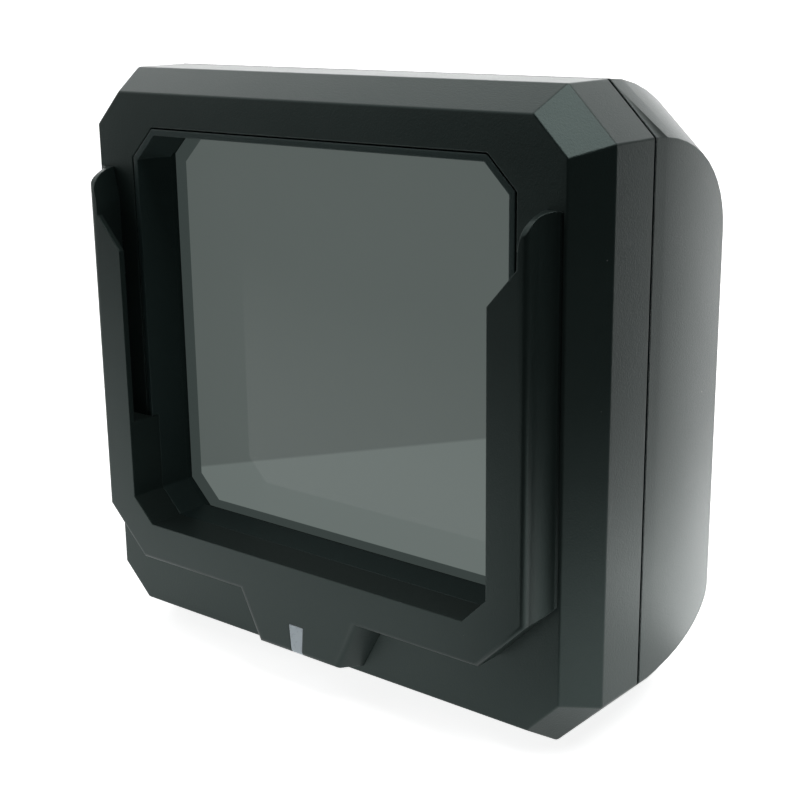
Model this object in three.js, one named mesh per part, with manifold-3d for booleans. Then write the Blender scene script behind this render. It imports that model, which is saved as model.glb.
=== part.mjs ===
// Desktop passport reader: a clipped-corner housing that stands upright, with a U-shaped
// document guide on its face, a deep scanning window, and its optics and boards inside.
// Millimetres, +Z up, front towards -Y. Origin: middle of the footprint, on the ground.
import * as THREE from "three";
import { mergeVertices } from "three/addons/utils/BufferGeometryUtils.js";
import Module from "manifold-3d";

const wasm = await Module();
wasm.setup();

// Housing
const bodyWidth = 154.2;
const bodyHeight = 148;
const bodyDepth = 66;
const cornerClip = 11.8;
const faceInset = 5.6;
const bevelDepth = 9.2;
const partingDepth = 24.8;
const partingGap = 0.7;
const wall = 2.4;
const tongueThickness = 1.4;
const tongueLength = 3.5;

// Rounded back of the housing
const shoulderDrop = 36;
const shoulderPower = 1.87;
const sidePower = 1.93;
const heelRadius = 16;
const sideSetback = 3.9;
const sideCrown = 2.9;
const sideHeelHeight = 12;

// Document guide
const guideReach = 7.8;
const guideMargin = 9.7;
const guideHead = 24.6;
const guideBar = 10.1;
const guideClip = 12.6;
const guideSkin = 1.6;
const guideEdge = 1.2;
const edgeSegments = 3;
const coveSegments = 8;
const armFlare = 3.4;
const flareStart = 2.5;
const armCrownDepth = 9;
const armCrownRise = 5.3;
const armThickness = 2.65;
const channelStep = 26.7;
const flangeDrop = 11.5;
const flangeSlope = 8.5;
const leadInHeight = 8;
const leadInWidth = 1.7;
const hookHeight = 8;
const hookDrop = 27.4;
const hookReach = 5.2;
const hookBarb = 1;

// Light tab at the bottom of the guide
const tabTopWidth = 38;
const tabBottomWidth = 25.6;
const tabDrop = 12.5;
const tabTopFlare = 3.8;
const tabBottomFlare = 2.1;
const tabUnderSlope = 1.6;
const lightTopWidth = 4.6;
const lightBottomWidth = 3.4;
const lightHeight = 7.5;
const lightStemWidth = 3.2;
const lightStemHeight = 5;
const lightStemLength = 5.3;

// Window, its bezel and the glass
const windowMargin = 19.9;
const windowRise = 31.6;
const windowHead = 16;
const windowClip = 6.4;
const bezelWall = 1.6;
const bezelFlange = 2.4;
const bezelFlangeThickness = 1.6;
const neckDepth = 2.1;
const ledgeDepth = 5.9;
const grooveDepth = 10.9;
const ledgeStep = 0.5;
const grooveWidth = 1.2;
const glassDepth = 13.7;
const glassThickness = 2;
const glassMargin = 0.8;
const borderThickness = 0.3;
const borderSide = 3;
const borderEnd = 1.5;
const seatThickness = 1.7;

// Reading optics
const boardThickness = 1.6;
const antennaWidth = 10;
const chassisMargin = 0.4;
const chassisWall = 1.6;
const chassisTopDepth = 11;
const chassisFlange = 6;
const mirrorWidth = 74;
const mirrorHeight = 44;
const mirrorRim = 1;
const mirrorThickness = 3;
const mirrorDepth = 44.2;
const opticAxisLift = 1.2;
const cameraDepth = 26.2;
const cameraRise = 19.5;
const cameraBoardWidth = 30;
const cameraBoardHeight = 20;
const cameraPlateReach = 9;
const cameraAperture = 6.6;
const holderSide = 11;
const holderHeight = 5;
const barrelRadius = 4.2;
const barrelLength = 7.5;
const lensRadius = 3;
const lensHeight = 1.1;
const lensRim = 0.3;
const lensSteps = 6;
const barrelEdge = 0.5;
const lightStripMargin = 9.2;
const lightStripBoard = 1;
const lightStripDepth = 10;
const lampCount = 6;
const lampSize = 3;
const lampHeight = 1.2;
const diffuserThickness = 1.2;
const diffuserStand = 3.6;

// Electronics
const mainBoardMargin = 21.1;
const mainBoardHead = 27;
const mainBoardDrop = 4;
const mainBoardStand = 3.2;
const shieldSide = 24;
const shieldHeight = 3;
const shieldSkin = 0.3;
const sounderRadius = 6;
const sounderHeight = 5;
const sounderMargin = 18;
const sounderPort = 1;
const cardHolderWidth = 15.6;
const cardHolderHeight = 13.5;
const cardHolderThickness = 1.9;
const cardHolderPitch = 17.5;
const cardThroat = 0.9;
const cardHolderWall = 0.9;
const cardThroatFloor = 0.4;
const cardStop = 1;
const portBoardWidth = 58;
const portBoardHeight = 21;
const portBoardRise = 15.5;
const portPostInset = 3.25;
const statusBoardWidth = 20;
const statusBoardHeight = 11;
const statusLampHeight = 1.1;
const statusPostRadius = 1.5;
const statusPostInset = 3.25;

// Connector niche with its two sockets
const nicheWidth = 44;
const nicheHeight = 18;
const nicheRise = 20.5;
const nicheDepth = 6;
const nicheWall = 1.6;
const socketDepth = 9;
const socketOffset = 11;
const socketEnd = 1.5;
const socketRoot = 1;
const socketSetback = 0.9;
const usbWidth = 9;
const usbHeight = 3.3;
const usbShell = 0.35;
const usbTongueWidth = 6.5;
const usbTongue = 0.7;
const powerSocketSide = 9;
const powerBoreRadius = 3.1;
const powerPinRadius = 1;

// Card door in the back
const doorWidth = 40;
const doorHeight = 24;
const doorThickness = 2.2;
const doorGap = 0.3;
const knuckleRadius = 1.7;
const hingePinRadius = 0.8;
const hingePinPlay = 0.15;
const hingeEarWidth = 4;
const hingeEarHeight = 5.2;
const doorRibInset = 4;
const doorRibWidth = 1;
const doorRibHeight = 0.6;
const thumbNotchRadius = 7;
const thumbNotchReach = 3;
const thumbNotchDepth = 0.8;
const doorStopInset = 3;
const doorStopWidth = 4;
const doorStopDepth = 1.7;
const doorStopLap = 1.5;
const doorStopRoot = 2;

// Air slots along the back's upper shoulder
const ventMargin = 3.3;
const ventOverhang = 1;
const ventRecessHeight = 6.4;
const ventRecessDepth = 0.9;
const ventSlotWidth = 6;
const ventSlotHeight = 1.6;
const ventCount = 13;
const ventPosition = 0.72;

// Feet and fasteners
const footRadius = 5;
const footProud = 0.8;
const footRecess = 0.7;
const footMargin = 25.1;
const footEdge = 0.3;
const frontFootDepth = 17;
const rearFootDepth = 42;
const bossRadius = 2.8;
const wellRadius = 4;
const wellWall = 0.9;
const wellFloor = 3.4;
const caseScrewMargin = 15.1;
const caseScrewLow = 17;
const caseScrewHead = 24;
const caseScrewLength = 14;
const screwHeadRadius = 2.6;
const screwHeadHeight = 1.8;
const screwCrownShare = 0.7;
const screwRimShare = 0.4;
const crossWidthShare = 0.22;
const crossReachShare = 0.62;
const crossDepthShare = 0.55;
const screwShankRadius = 1.35;
const guideScrewLength = 7;
const guideScrewLowSpread = 76;
const guideScrewLift = 3.1;
const guideScrewInset = 3.1;
const guideScrewDrop = 12.3;
const boardScrewLength = 4.2;
const postRadius = 2.5;

// Clearances
const clearance = 0.3;
const hairline = 0.05;
const shankPlay = 0.2;
const overrun = 2;
const roundSides = 24;
const curveSteps = 12;
const stadiumSides = 16;

// Sizes that follow from those above
const guideWidth = bodyWidth - 2 * guideMargin;
const guideTop = bodyHeight - guideHead;
const guideBottom = windowRise - guideBar;
const channelWidth = guideWidth - 2 * armThickness;
const channelFloor = windowRise + channelStep;
const flangeTop = guideTop - flangeDrop;
const hookRise = guideTop - hookDrop;
const windowWidth = bodyWidth - 2 * windowMargin;
const windowHeight = bodyHeight - windowRise - windowHead;
const chassisWidth = windowWidth + 2 * chassisMargin;
const opticAxisRise = windowRise + windowHeight / 2 + opticAxisLift;
const lightStripHeight = windowHeight - 2 * lightStripMargin;
const mainBoardWidth = bodyWidth - 2 * mainBoardMargin;
const sounderOffset = mainBoardWidth / 2 - sounderMargin;
const mainBoardRise = opticAxisRise - mainBoardDrop;
const mainBoardHeight = bodyHeight - mainBoardHead - mainBoardRise;
const ventRecessSpan = bodyWidth - 2 * cornerClip + 2 * ventOverhang;
const ventSpan = bodyWidth - 2 * cornerClip - 2 * ventMargin;

// Planes that everything is set out from
const base = footProud;
const top = base + bodyHeight;
const front = -(guideReach + bodyDepth) / 2;
const face = front + guideReach;
const parting = face + partingDepth;
const back = face + bodyDepth;
const faceInside = face + wall;
const glassFront = face + glassDepth;
const glassBack = glassFront + glassThickness;
const seatPlane = glassBack + borderThickness;
const bezelBack = seatPlane + seatThickness;
const backInside = back - wall;

const shellPlastic = { color: 0x2b302f, roughness: 0.55, metalness: 0 };
const guidePlastic = { color: 0x2a2f2e, roughness: 0.5, metalness: 0 };
const innerPlastic = { color: 0x151616, roughness: 0.8, metalness: 0 };
const glassFinish = { color: 0x6a706d, roughness: 0.06, metalness: 0, transparent: true, opacity: 0.45 };
const borderInk = { color: 0x202423, roughness: 0.4, metalness: 0 };
const lightPlastic = { color: 0xc6d0d4, roughness: 0.3, metalness: 0 };
const rubber = { color: 0x1b1b1b, roughness: 0.9, metalness: 0 };
const steel = { color: 0x9a9c9e, roughness: 0.35, metalness: 1 };
const blackSteel = { color: 0x3a3a3c, roughness: 0.45, metalness: 1 };
const boardGreen = { color: 0x1f5a38, roughness: 0.5, metalness: 0 };
const silver = { color: 0xe4e6e8, roughness: 0.05, metalness: 1 };
const milky = { color: 0xe8ebe8, roughness: 0.5, metalness: 0 };
const lensGlass = { color: 0x3a4460, roughness: 0.05, metalness: 0 };
const contactPlastic = { color: 0x1c1d1f, roughness: 0.6, metalness: 0 };

const reader = new THREE.Group();
reader.name = "passport_reader";

// Solids from three.js geometry, and back again
function toSolid(geometry) {
  const bare = new THREE.BufferGeometry();
  bare.setAttribute("position", geometry.getAttribute("position").clone());
  if (geometry.index) {
    bare.setIndex(geometry.index.clone());
  }
  const merged = mergeVertices(bare, 1e-4);
  return new wasm.Manifold(
    new wasm.Mesh({
      numProp: 3,
      vertProperties: merged.attributes.position.array,
      triVerts: new Uint32Array(merged.index.array),
    }),
  );
}

function toGeometry(solid) {
  const mesh = solid.getMesh();
  const geometry = new THREE.BufferGeometry();
  geometry.setAttribute("position", new THREE.BufferAttribute(mesh.vertProperties, mesh.numProp));
  geometry.setIndex(new THREE.BufferAttribute(mesh.triVerts, 1));
  geometry.computeVertexNormals();
  return geometry;
}

function addPiece(name, solid, finish, parent = reader) {
  const mesh = new THREE.Mesh(toGeometry(solid), new THREE.MeshStandardMaterial(finish));
  mesh.name = name;
  parent.add(mesh);
  return mesh;
}

function join(solids) {
  return solids.reduce((whole, solid) => whole.add(solid));
}

function cut(solid, tools) {
  return tools.reduce((whole, tool) => whole.subtract(tool), solid);
}

// Where an outline's two directions and its extrusion point, for each axis
const frames = {
  x: [new THREE.Vector3(0, 1, 0), new THREE.Vector3(0, 0, 1), new THREE.Vector3(1, 0, 0)],
  y: [new THREE.Vector3(1, 0, 0), new THREE.Vector3(0, 0, 1), new THREE.Vector3(0, -1, 0)],
  z: [new THREE.Vector3(1, 0, 0), new THREE.Vector3(0, 1, 0), new THREE.Vector3(0, 0, 1)],
};

// An outline pushed along an axis: (y, z) along x, (x, z) along y, (x, y) along z
function prism(axis, outline, from, to) {
  const shape = new THREE.Shape(outline.map(([u, v]) => new THREE.Vector2(u, v)));
  const geometry = new THREE.ExtrudeGeometry(shape, { depth: to - from, bevelEnabled: false });
  geometry.applyMatrix4(new THREE.Matrix4().makeBasis(...frames[axis]));
  const start = axis === "y" ? to : from;
  const shift = new THREE.Vector3();
  shift[axis] = start;
  geometry.translate(shift.x, shift.y, shift.z);
  return toSolid(geometry);
}

function circle(u, v, radius, sides = roundSides) {
  return Array.from({ length: sides }, (unused, i) => {
    const angle = ((i + 0.5) / sides) * 2 * Math.PI;
    return [u + radius * Math.cos(angle), v + radius * Math.sin(angle)];
  });
}

function rod(axis, u, v, radius, from, to) {
  return prism(axis, circle(u, v, radius), from, to);
}

function block(x, y, z) {
  const geometry = new THREE.BoxGeometry(x[1] - x[0], y[1] - y[0], z[1] - z[0]);
  geometry.translate((x[0] + x[1]) / 2, (y[0] + y[1]) / 2, (z[0] + z[1]) / 2);
  return toSolid(geometry);
}

function centredBlock(width, y, z) {
  return block([-width / 2, width / 2], y, z);
}

// Clipped-corner outlines in the (x, z) plane
const clipRate = 2 - Math.SQRT2;

function grow(frame, by) {
  return {
    half: frame.half + by,
    low: frame.low - by,
    high: frame.high + by,
    clip: frame.clip + clipRate * by,
  };
}

function corners({ half, low, high, clip }) {
  return [
    [-half + clip, low],
    [half - clip, low],
    [half, low + clip],
    [half, high - clip],
    [half - clip, high],
    [-half + clip, high],
    [-half, high - clip],
    [-half, low + clip],
  ];
}

const bodyFrame = { half: bodyWidth / 2, low: base, high: top, clip: cornerClip };
const windowFrame = {
  half: windowWidth / 2,
  low: base + windowRise,
  high: base + windowRise + windowHeight,
  clip: windowClip,
};
const borderFrame = {
  half: windowFrame.half - borderSide,
  low: windowFrame.low + borderEnd,
  high: windowFrame.high - borderEnd,
  clip: windowClip,
};

function triangles(faces) {
  const geometry = new THREE.BufferGeometry();
  geometry.setAttribute("position", new THREE.Float32BufferAttribute(faces.flat(2), 3));
  return toSolid(geometry);
}

// Rings of (x, z) points, each at its own y, skinned into one solid
function loft(rings) {
  const place = (ring, i) => [ring.points[i][0], ring.y, ring.points[i][1]];
  const count = rings[0].points.length;
  const faces = [];
  for (let r = 0; r + 1 < rings.length; r += 1) {
    for (let i = 0; i < count; i += 1) {
      const j = (i + 1) % count;
      faces.push([place(rings[r], i), place(rings[r + 1], i), place(rings[r], j)]);
      faces.push([place(rings[r], j), place(rings[r + 1], i), place(rings[r + 1], j)]);
    }
  }
  const first = rings[0];
  const last = rings[rings.length - 1];
  const outline = (ring) => ring.points.map(([x, z]) => new THREE.Vector2(x, z));
  for (const [a, b, c] of THREE.ShapeUtils.triangulateShape(outline(first), [])) {
    faces.push([place(first, a), place(first, b), place(first, c)]);
  }
  for (const [a, b, c] of THREE.ShapeUtils.triangulateShape(outline(last), [])) {
    faces.push([place(last, a), place(last, c), place(last, b)]);
  }
  return triangles(faces);
}

function frameLoft(steps) {
  return loft(steps.map(([y, frame]) => ({ y, points: corners(frame) })));
}

// The housing's outside form ahead of the parting line, and the hollow behind its skin
const bevelSlope = faceInset / bevelDepth;
const bevelSkin = wall * Math.hypot(1, bevelSlope);

function frontForm() {
  return frameLoft([
    [face, grow(bodyFrame, -faceInset)],
    [face + bevelDepth, bodyFrame],
    [parting - partingGap / 2, bodyFrame],
  ]);
}

function frontHollow() {
  const bevelEnd = face + bevelDepth + (bevelSkin - wall) / bevelSlope;
  return frameLoft([
    [faceInside, grow(bodyFrame, -(faceInset + bevelSkin - wall * bevelSlope))],
    [bevelEnd, grow(bodyFrame, -wall)],
    [parting + overrun, grow(bodyFrame, -wall)],
  ]);
}

// The rounded back: across the body, each row runs side edge, flat edge, flat edge, side edge.
// The rows over the top match the rows below them, and the crowned sides span each such pair.
function rearForm(inset, start) {
  const flatHalf = bodyWidth / 2 - cornerClip - inset * (Math.SQRT2 - 1);
  const reach = bodyDepth - partingDepth - inset;
  const sideReach = reach - sideSetback;
  const crownReach = bodyDepth - partingDepth - sideSetback;
  const shoulder = base + bodyHeight - shoulderDrop;
  const rise = shoulderDrop - inset;
  const sideRise = shoulderDrop - cornerClip - inset * clipRate - inset * (Math.SQRT2 - 1);
  const sideLow = base + cornerClip + inset * (Math.SQRT2 - 1);
  const sideHeel = base + cornerClip + sideHeelHeight;
  const heel = heelRadius - inset;
  const rows = [];
  const bulge = (share, power) => (1 - share ** power) ** (1 / power);
  const shares = quarterTurn(curveSteps).map(Math.sin);
  const row = (flatY, flatZ, sideY, sideZ) => {
    const half = bodyWidth / 2 - inset - sideCrown * ((sideY - parting) / crownReach) ** 2;
    return [
      [-half, sideY, sideZ],
      [-flatHalf, flatY, flatZ],
      [flatHalf, flatY, flatZ],
      [half, sideY, sideZ],
    ];
  };
  for (const share of shares) {
    const flatZ = shoulder + rise * bulge(share, shoulderPower);
    const sideZ = shoulder + sideRise * bulge(share, sidePower);
    rows.push(row(parting + reach * share, flatZ, parting + sideReach * share, sideZ));
  }
  for (const share of [...shares].reverse()) {
    const flatY = reach * share;
    const round = Math.max(0, (flatY - (reach - heel)) / heel);
    const flatZ = base + inset + heel * (1 - Math.sqrt(Math.max(0, 1 - round * round)));
    const sideZ = sideHeel - (sideHeel - sideLow) * Math.sqrt(Math.max(0, 1 - share * share));
    rows.push(row(parting + flatY, flatZ, parting + sideReach * share, sideZ));
  }
  const shifted = (points) => points.map(([x, , z]) => [x, start, z]);
  rows.unshift(shifted(rows[0]));
  rows.push(shifted(rows[rows.length - 1]));
  return rows;
}

function rearSolid(inset, start) {
  const rows = rearForm(inset, start);
  const faces = [];
  for (let r = 0; r + 1 < rows.length; r += 1) {
    for (let i = 0; i < 3; i += 1) {
      faces.push([rows[r][i], rows[r][i + 1], rows[r + 1][i + 1]]);
      faces.push([rows[r][i], rows[r + 1][i + 1], rows[r + 1][i]]);
    }
  }
  for (let r = 0; r + 1 < rows.length / 2; r += 1) {
    const loop = [rows[r], rows[r + 1], rows[rows.length - 2 - r], rows[rows.length - 1 - r]];
    const [a, b, c, d] = loop.map((row) => row[3]);
    faces.push([a, c, b], [a, d, c]);
    const [e, f, g, h] = loop.map((row) => row[0]);
    faces.push([e, f, g], [e, g, h]);
  }
  const rim = [...rows[0], ...[...rows[rows.length - 1]].reverse()];
  for (let i = 1; i + 1 < rim.length; i += 1) {
    faces.push([rim[0], rim[i + 1], rim[i]]);
  }
  return triangles(faces);
}

// A pan-head screw along +y: its head's top at y = 0, a cross cut in it, its shank behind
function screwSolid(length) {
  const profile = [
    [0, 0],
    [screwHeadRadius * screwCrownShare, 0],
    [screwHeadRadius, screwHeadHeight * screwRimShare],
    [screwHeadRadius, screwHeadHeight],
    [screwShankRadius, screwHeadHeight],
    [screwShankRadius, length - screwShankRadius],
    [0, length],
  ];
  const points = profile.map(([r, h]) => new THREE.Vector2(r, h));
  const body = toSolid(new THREE.LatheGeometry(points, roundSides));
  const slot = screwHeadRadius * crossWidthShare;
  const arm = screwHeadRadius * crossReachShare;
  const depth = screwHeadHeight * crossDepthShare;
  const cross = join([
    block([-arm, arm], [-overrun, depth], [-slot, slot]),
    block([-slot, slot], [-overrun, depth], [-arm, arm]),
  ]);
  return body.subtract(cross);
}

// Sets a screw's seat under its head at (x, y, z), pointing along +y or -y
function addScrew(name, x, y, z, forwards, length, finish) {
  const holder = new THREE.Group();
  holder.position.set(x, forwards ? y + screwHeadHeight : y - screwHeadHeight, z);
  holder.rotation.x = forwards ? Math.PI : 0;
  addPiece(name, screwSolid(length), finish, holder);
  reader.add(holder);
}

const sides = [
  ["left", -1],
  ["right", 1],
];

// Places of the screws that hold the two housing shells together
const caseScrews = sides.flatMap(([side, sign]) => [
  { name: "case_screw_upper_" + side, x: sign * (bodyWidth / 2 - caseScrewMargin), z: top - caseScrewHead },
  { name: "case_screw_lower_" + side, x: sign * (bodyWidth / 2 - caseScrewMargin), z: base + caseScrewLow },
]);

// Places of the screws that hold the document guide from inside the face
const guideScrews = sides.flatMap(([side, sign]) => [
  {
    name: "guide_screw_bottom_" + side,
    x: (sign * guideScrewLowSpread) / 2,
    z: base + guideBottom + guideScrewLift,
  },
  {
    name: "guide_screw_arm_" + side,
    x: sign * (guideWidth / 2 - guideScrewInset),
    z: base + channelFloor - guideScrewDrop,
  },
]);

const guideBack = face - hairline;
const armInner = channelWidth / 2;
const armOuter = guideWidth / 2;
const hookLow = base + hookRise;
const hookOuter = armOuter - clearance;
const lightLow = base + guideBottom - tabDrop;
const stemLow = lightLow + (lightHeight - lightStemHeight) / 2;
const statusLampFront = face + lightStemLength + clearance;
const statusBoardFront = statusLampFront + statusLampHeight;
const statusPosts = statusBoardWidth / 2 - statusPostInset;

function quarterTurn(steps) {
  return Array.from({ length: steps + 1 }, (unused, i) => (i / steps) * (Math.PI / 2));
}

// Outer edge of the guide at a depth behind its front: arms, clipped corners, bottom and tab
function guideRing(depth, inset) {
  const sweep = Math.max(0, depth - flareStart) / (guideReach - flareStart);
  const flare = armFlare * (1 - Math.sqrt(Math.max(0, 1 - sweep * sweep)));
  const share = depth / guideReach;
  const side = armOuter - inset + flare;
  const low = base + guideBottom + inset;
  const cornerShift = inset * (Math.SQRT2 - 1);
  const bottomHalf = armOuter - guideClip - cornerShift;
  const cornerZ = base + guideBottom + guideClip + cornerShift + flare;
  const tabTop = tabTopWidth / 2 - inset + tabTopFlare * share;
  const tabBottom = tabBottomWidth / 2 - inset + tabBottomFlare * share;
  const tabLow = base + guideBottom - tabDrop + inset - tabUnderSlope * share;
  const ceiling = base + guideTop + overrun;
  const rightHalf = [
    [tabBottom, tabLow],
    [tabTop, low],
    [bottomHalf, low],
    [side, cornerZ],
    [side, ceiling],
  ];
  const leftHalf = rightHalf.map(([x, z]) => [-x, z]).reverse();
  return [...rightHalf, ...leftHalf];
}

function guideForm() {
  const edgeSteps = quarterTurn(edgeSegments).map((angle) => [
    guideEdge * (1 - Math.cos(angle)),
    guideEdge * (1 - Math.sin(angle)),
  ]);
  const coveSteps = quarterTurn(coveSegments).map((angle) => [
    flareStart + (guideReach - flareStart) * Math.sin(angle),
    0,
  ]);
  return loft(
    [...edgeSteps, ...coveSteps].map(([depth, inset]) => ({
      y: Math.min(front + depth, guideBack),
      points: guideRing(depth, inset),
    })),
  );
}

function lightOutline(slack) {
  const topHalf = lightTopWidth / 2 + slack;
  const bottomHalf = lightBottomWidth / 2 + slack;
  const lowest = lightLow - tabUnderSlope - overrun;
  const rate = (lightTopWidth - lightBottomWidth) / 2 / lightHeight;
  const lowHalf = bottomHalf - rate * (lightLow - lowest);
  return [
    [-lowHalf, lowest],
    [lowHalf, lowest],
    [topHalf, lightLow + lightHeight + slack],
    [-topHalf, lightLow + lightHeight + slack],
  ];
}

// The U-shaped guide: flanged arms with an open channel, clipped corners, tab and hooks
function buildGuide() {
  const form = guideForm();
  const ceiling = base + guideTop + 2 * overrun;
  const opening = corners({ ...windowFrame, high: ceiling });
  const channel = block(
    [-armInner, armInner],
    [front + guideSkin, face + overrun],
    [base + channelFloor, ceiling],
  );
  const flangeCuts = sides.map(([, sign]) =>
    prism(
      "y",
      [
        [sign * (windowFrame.half - overrun), base + flangeTop - flangeSlope],
        [sign * windowFrame.half, base + flangeTop - flangeSlope],
        [sign * armInner, base + flangeTop],
        [sign * armInner, ceiling],
        [sign * (windowFrame.half - overrun), ceiling],
      ],
      front - overrun,
      front + guideSkin + hairline,
    ),
  );
  const leadIns = sides.map(([, sign]) =>
    prism(
      "y",
      [
        [sign * (armInner - hairline), base + guideTop - leadInHeight],
        [sign * (armInner + leadInWidth), base + guideTop],
        [sign * (armInner + leadInWidth), ceiling],
        [sign * (armInner - hairline), ceiling],
      ],
      front - overrun,
      face + overrun,
    ),
  );
  const crown = quarterTurn(curveSteps).map((angle) => [
    front + armCrownDepth * (1 - Math.cos(angle)),
    base + guideTop - armCrownRise * (1 - Math.sin(angle)),
  ]);
  const crownCut = prism(
    "x",
    [
      [front - overrun, base + guideTop - armCrownRise],
      ...crown,
      [face + overrun, base + guideTop],
      [face + overrun, ceiling],
      [front - overrun, ceiling],
    ],
    -bodyWidth,
    bodyWidth,
  );
  const skin = guideSkin - hairline;
  const pocketOutline = {
    half: armOuter - skin,
    low: base + guideBottom + skin,
    high: base + channelFloor - skin,
    clip: guideClip - clipRate * skin,
  };
  const pocket = cut(
    prism(
      "y",
      [
        [-pocketOutline.half + pocketOutline.clip, pocketOutline.low],
        [pocketOutline.half - pocketOutline.clip, pocketOutline.low],
        [pocketOutline.half, pocketOutline.low + pocketOutline.clip],
        [pocketOutline.half, pocketOutline.high],
        [-pocketOutline.half, pocketOutline.high],
        [-pocketOutline.half, pocketOutline.low + pocketOutline.clip],
      ],
      front + guideSkin,
      face + overrun,
    ),
    [
      prism("y", corners({ ...grow(windowFrame, skin), high: ceiling }), front, face + 2 * overrun),
      centredBlock(tabTopWidth, [front, face + 2 * overrun], [base, pocketOutline.high]),
      ...guideScrews.map(({ x, z }) => rod("y", x, z, postRadius, front, face + 2 * overrun)),
    ],
  );
  const neck = prism("y", corners(grow(windowFrame, bezelWall)), guideBack - hairline, face + neckDepth)
    .subtract(prism("y", corners(windowFrame), front, back))
    .intersect(centredBlock(bodyWidth, [front, back], [base, base + channelFloor]));
  const hooks = sides.map(([, sign]) => {
    const inner = armInner + clearance;
    const leg = prism(
      "y",
      [
        [sign * inner, hookLow],
        [sign * hookOuter, hookLow],
        [sign * hookOuter, hookLow + hookHeight],
        [sign * inner, hookLow + hookHeight],
      ],
      guideBack - hairline,
      face + hookReach,
    );
    const barb = prism(
      "z",
      [
        [sign * (hookOuter - hairline), faceInside + clearance],
        [sign * (hookOuter + hookBarb), faceInside + clearance],
        [sign * (hookOuter - hairline), face + hookReach],
      ],
      hookLow,
      hookLow + hookHeight,
    );
    return leg.add(barb);
  });
  const screwBores = guideScrews.map(({ x, z }) =>
    rod("y", x, z, screwShankRadius + shankPlay, front + guideSkin, face + overrun),
  );
  const shaped = cut(form, [
    prism("y", opening, front - overrun, face + overrun),
    channel,
    ...flangeCuts,
    ...leadIns,
    crownCut,
    pocket,
    prism("y", lightOutline(2 * hairline), front - overrun, face + overrun),
  ]);
  return cut(join([shaped, neck, ...hooks]), screwBores);
}

function buildLightPipe() {
  const lamp = prism("y", lightOutline(0), front - overrun, face + overrun).intersect(guideForm());
  const stem = centredBlock(
    lightStemWidth,
    [guideBack - hairline, face + lightStemLength],
    [stemLow, stemLow + lightStemHeight],
  );
  return lamp.add(stem);
}

// Front shell: face and bevel with the window opening, screw bosses and feet recesses
function buildFrontCover() {
  const bosses = caseScrews.map(({ x, z }) =>
    rod("y", x, z, bossRadius, faceInside - hairline, parting - hairline),
  );
  const statusStands = [-1, 1].map((sign) =>
    rod(
      "y",
      sign * statusPosts,
      stemLow + lightStemHeight / 2,
      statusPostRadius,
      faceInside - hairline,
      statusBoardFront - hairline,
    ),
  );
  const shell = join([frontForm().subtract(frontHollow()), ...bosses, ...statusStands]);
  const hookSlots = sides.map(([, sign]) => {
    const xs = [sign * armInner, sign * (hookOuter + 2 * clearance)].sort((a, b) => a - b);
    const zs = [hookLow - clearance, hookLow + hookHeight + clearance];
    return block(xs, [face - overrun, faceInside + hairline], zs);
  });
  return cut(shell, [
    prism("y", corners(grow(windowFrame, bezelWall + clearance)), face - overrun, faceInside + hairline),
    ...hookSlots,
    ...guideScrews.map(({ x, z }) =>
      rod("y", x, z, screwShankRadius + shankPlay, face - overrun, faceInside + overrun),
    ),
    ...caseScrews.map(({ x, z }) =>
      rod("y", x, z, screwShankRadius + shankPlay, faceInside + hairline, parting + overrun),
    ),
    centredBlock(
      lightStemWidth + 2 * clearance,
      [face - overrun, faceInside + hairline],
      [stemLow - clearance, stemLow + lightStemHeight + clearance],
    ),
    ...feet
      .filter(({ y }) => y < parting)
      .map(({ x, y }) => rod("z", x, y, footRadius + clearance, base - overrun, base + footRecess)),
  ]);
}

// Window bezel: recess walls with a sloped ledge and shadow groove, flange and glass seat
function buildBezel() {
  const ledge = face + ledgeDepth;
  const groove = face + grooveDepth;
  const outer = join([
    prism("y", corners(grow(windowFrame, bezelWall)), face, bezelBack),
    prism(
      "y",
      corners(grow(windowFrame, bezelWall + bezelFlange)),
      faceInside + hairline,
      faceInside + hairline + bezelFlangeThickness,
    ),
  ]);
  const recess = frameLoft([
    [face - overrun, windowFrame],
    [ledge, windowFrame],
    [groove, grow(windowFrame, -ledgeStep)],
  ]);
  const grooveCut = prism("y", corners(grow(windowFrame, grooveWidth)), groove - hairline, seatPlane);
  const seatHole = prism(
    "y",
    corners(grow(borderFrame, clearance)),
    seatPlane - hairline,
    bezelBack + overrun,
  );
  const neckRoom = centredBlock(
    bodyWidth,
    [face - overrun, face + neckDepth + hairline],
    [base, base + channelFloor + hairline],
  );
  const bossRoom = caseScrews.map(({ x, z }) =>
    rod("y", x, z, bossRadius + clearance, face, parting),
  );
  return cut(outer, [recess, grooveCut, seatHole, neckRoom, ...bossRoom]);
}

function buildGlass() {
  return prism("y", corners(grow(windowFrame, glassMargin)), glassFront, glassBack);
}

function buildGlassBorder() {
  const sheet = [glassBack + hairline, seatPlane - hairline];
  return prism("y", corners(grow(windowFrame, glassMargin)), ...sheet).subtract(
    prism("y", corners(borderFrame), glassFront, bezelBack),
  );
}

// Antenna board: a flat loop behind the bezel, notched round the case bosses
const antennaFront = bezelBack + clearance;
const antennaBack = antennaFront + boardThickness;

function buildAntenna() {
  const ring = prism(
    "y",
    corners(grow(windowFrame, bezelWall + antennaWidth - borderSide)),
    antennaFront,
    antennaBack,
  );
  const hole = prism("y", corners(windowFrame), face, parting);
  const notches = caseScrews.map(({ x, z }) =>
    rod("y", x, z, bossRadius + clearance, face, parting),
  );
  return cut(ring, [hole, ...notches]);
}

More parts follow.
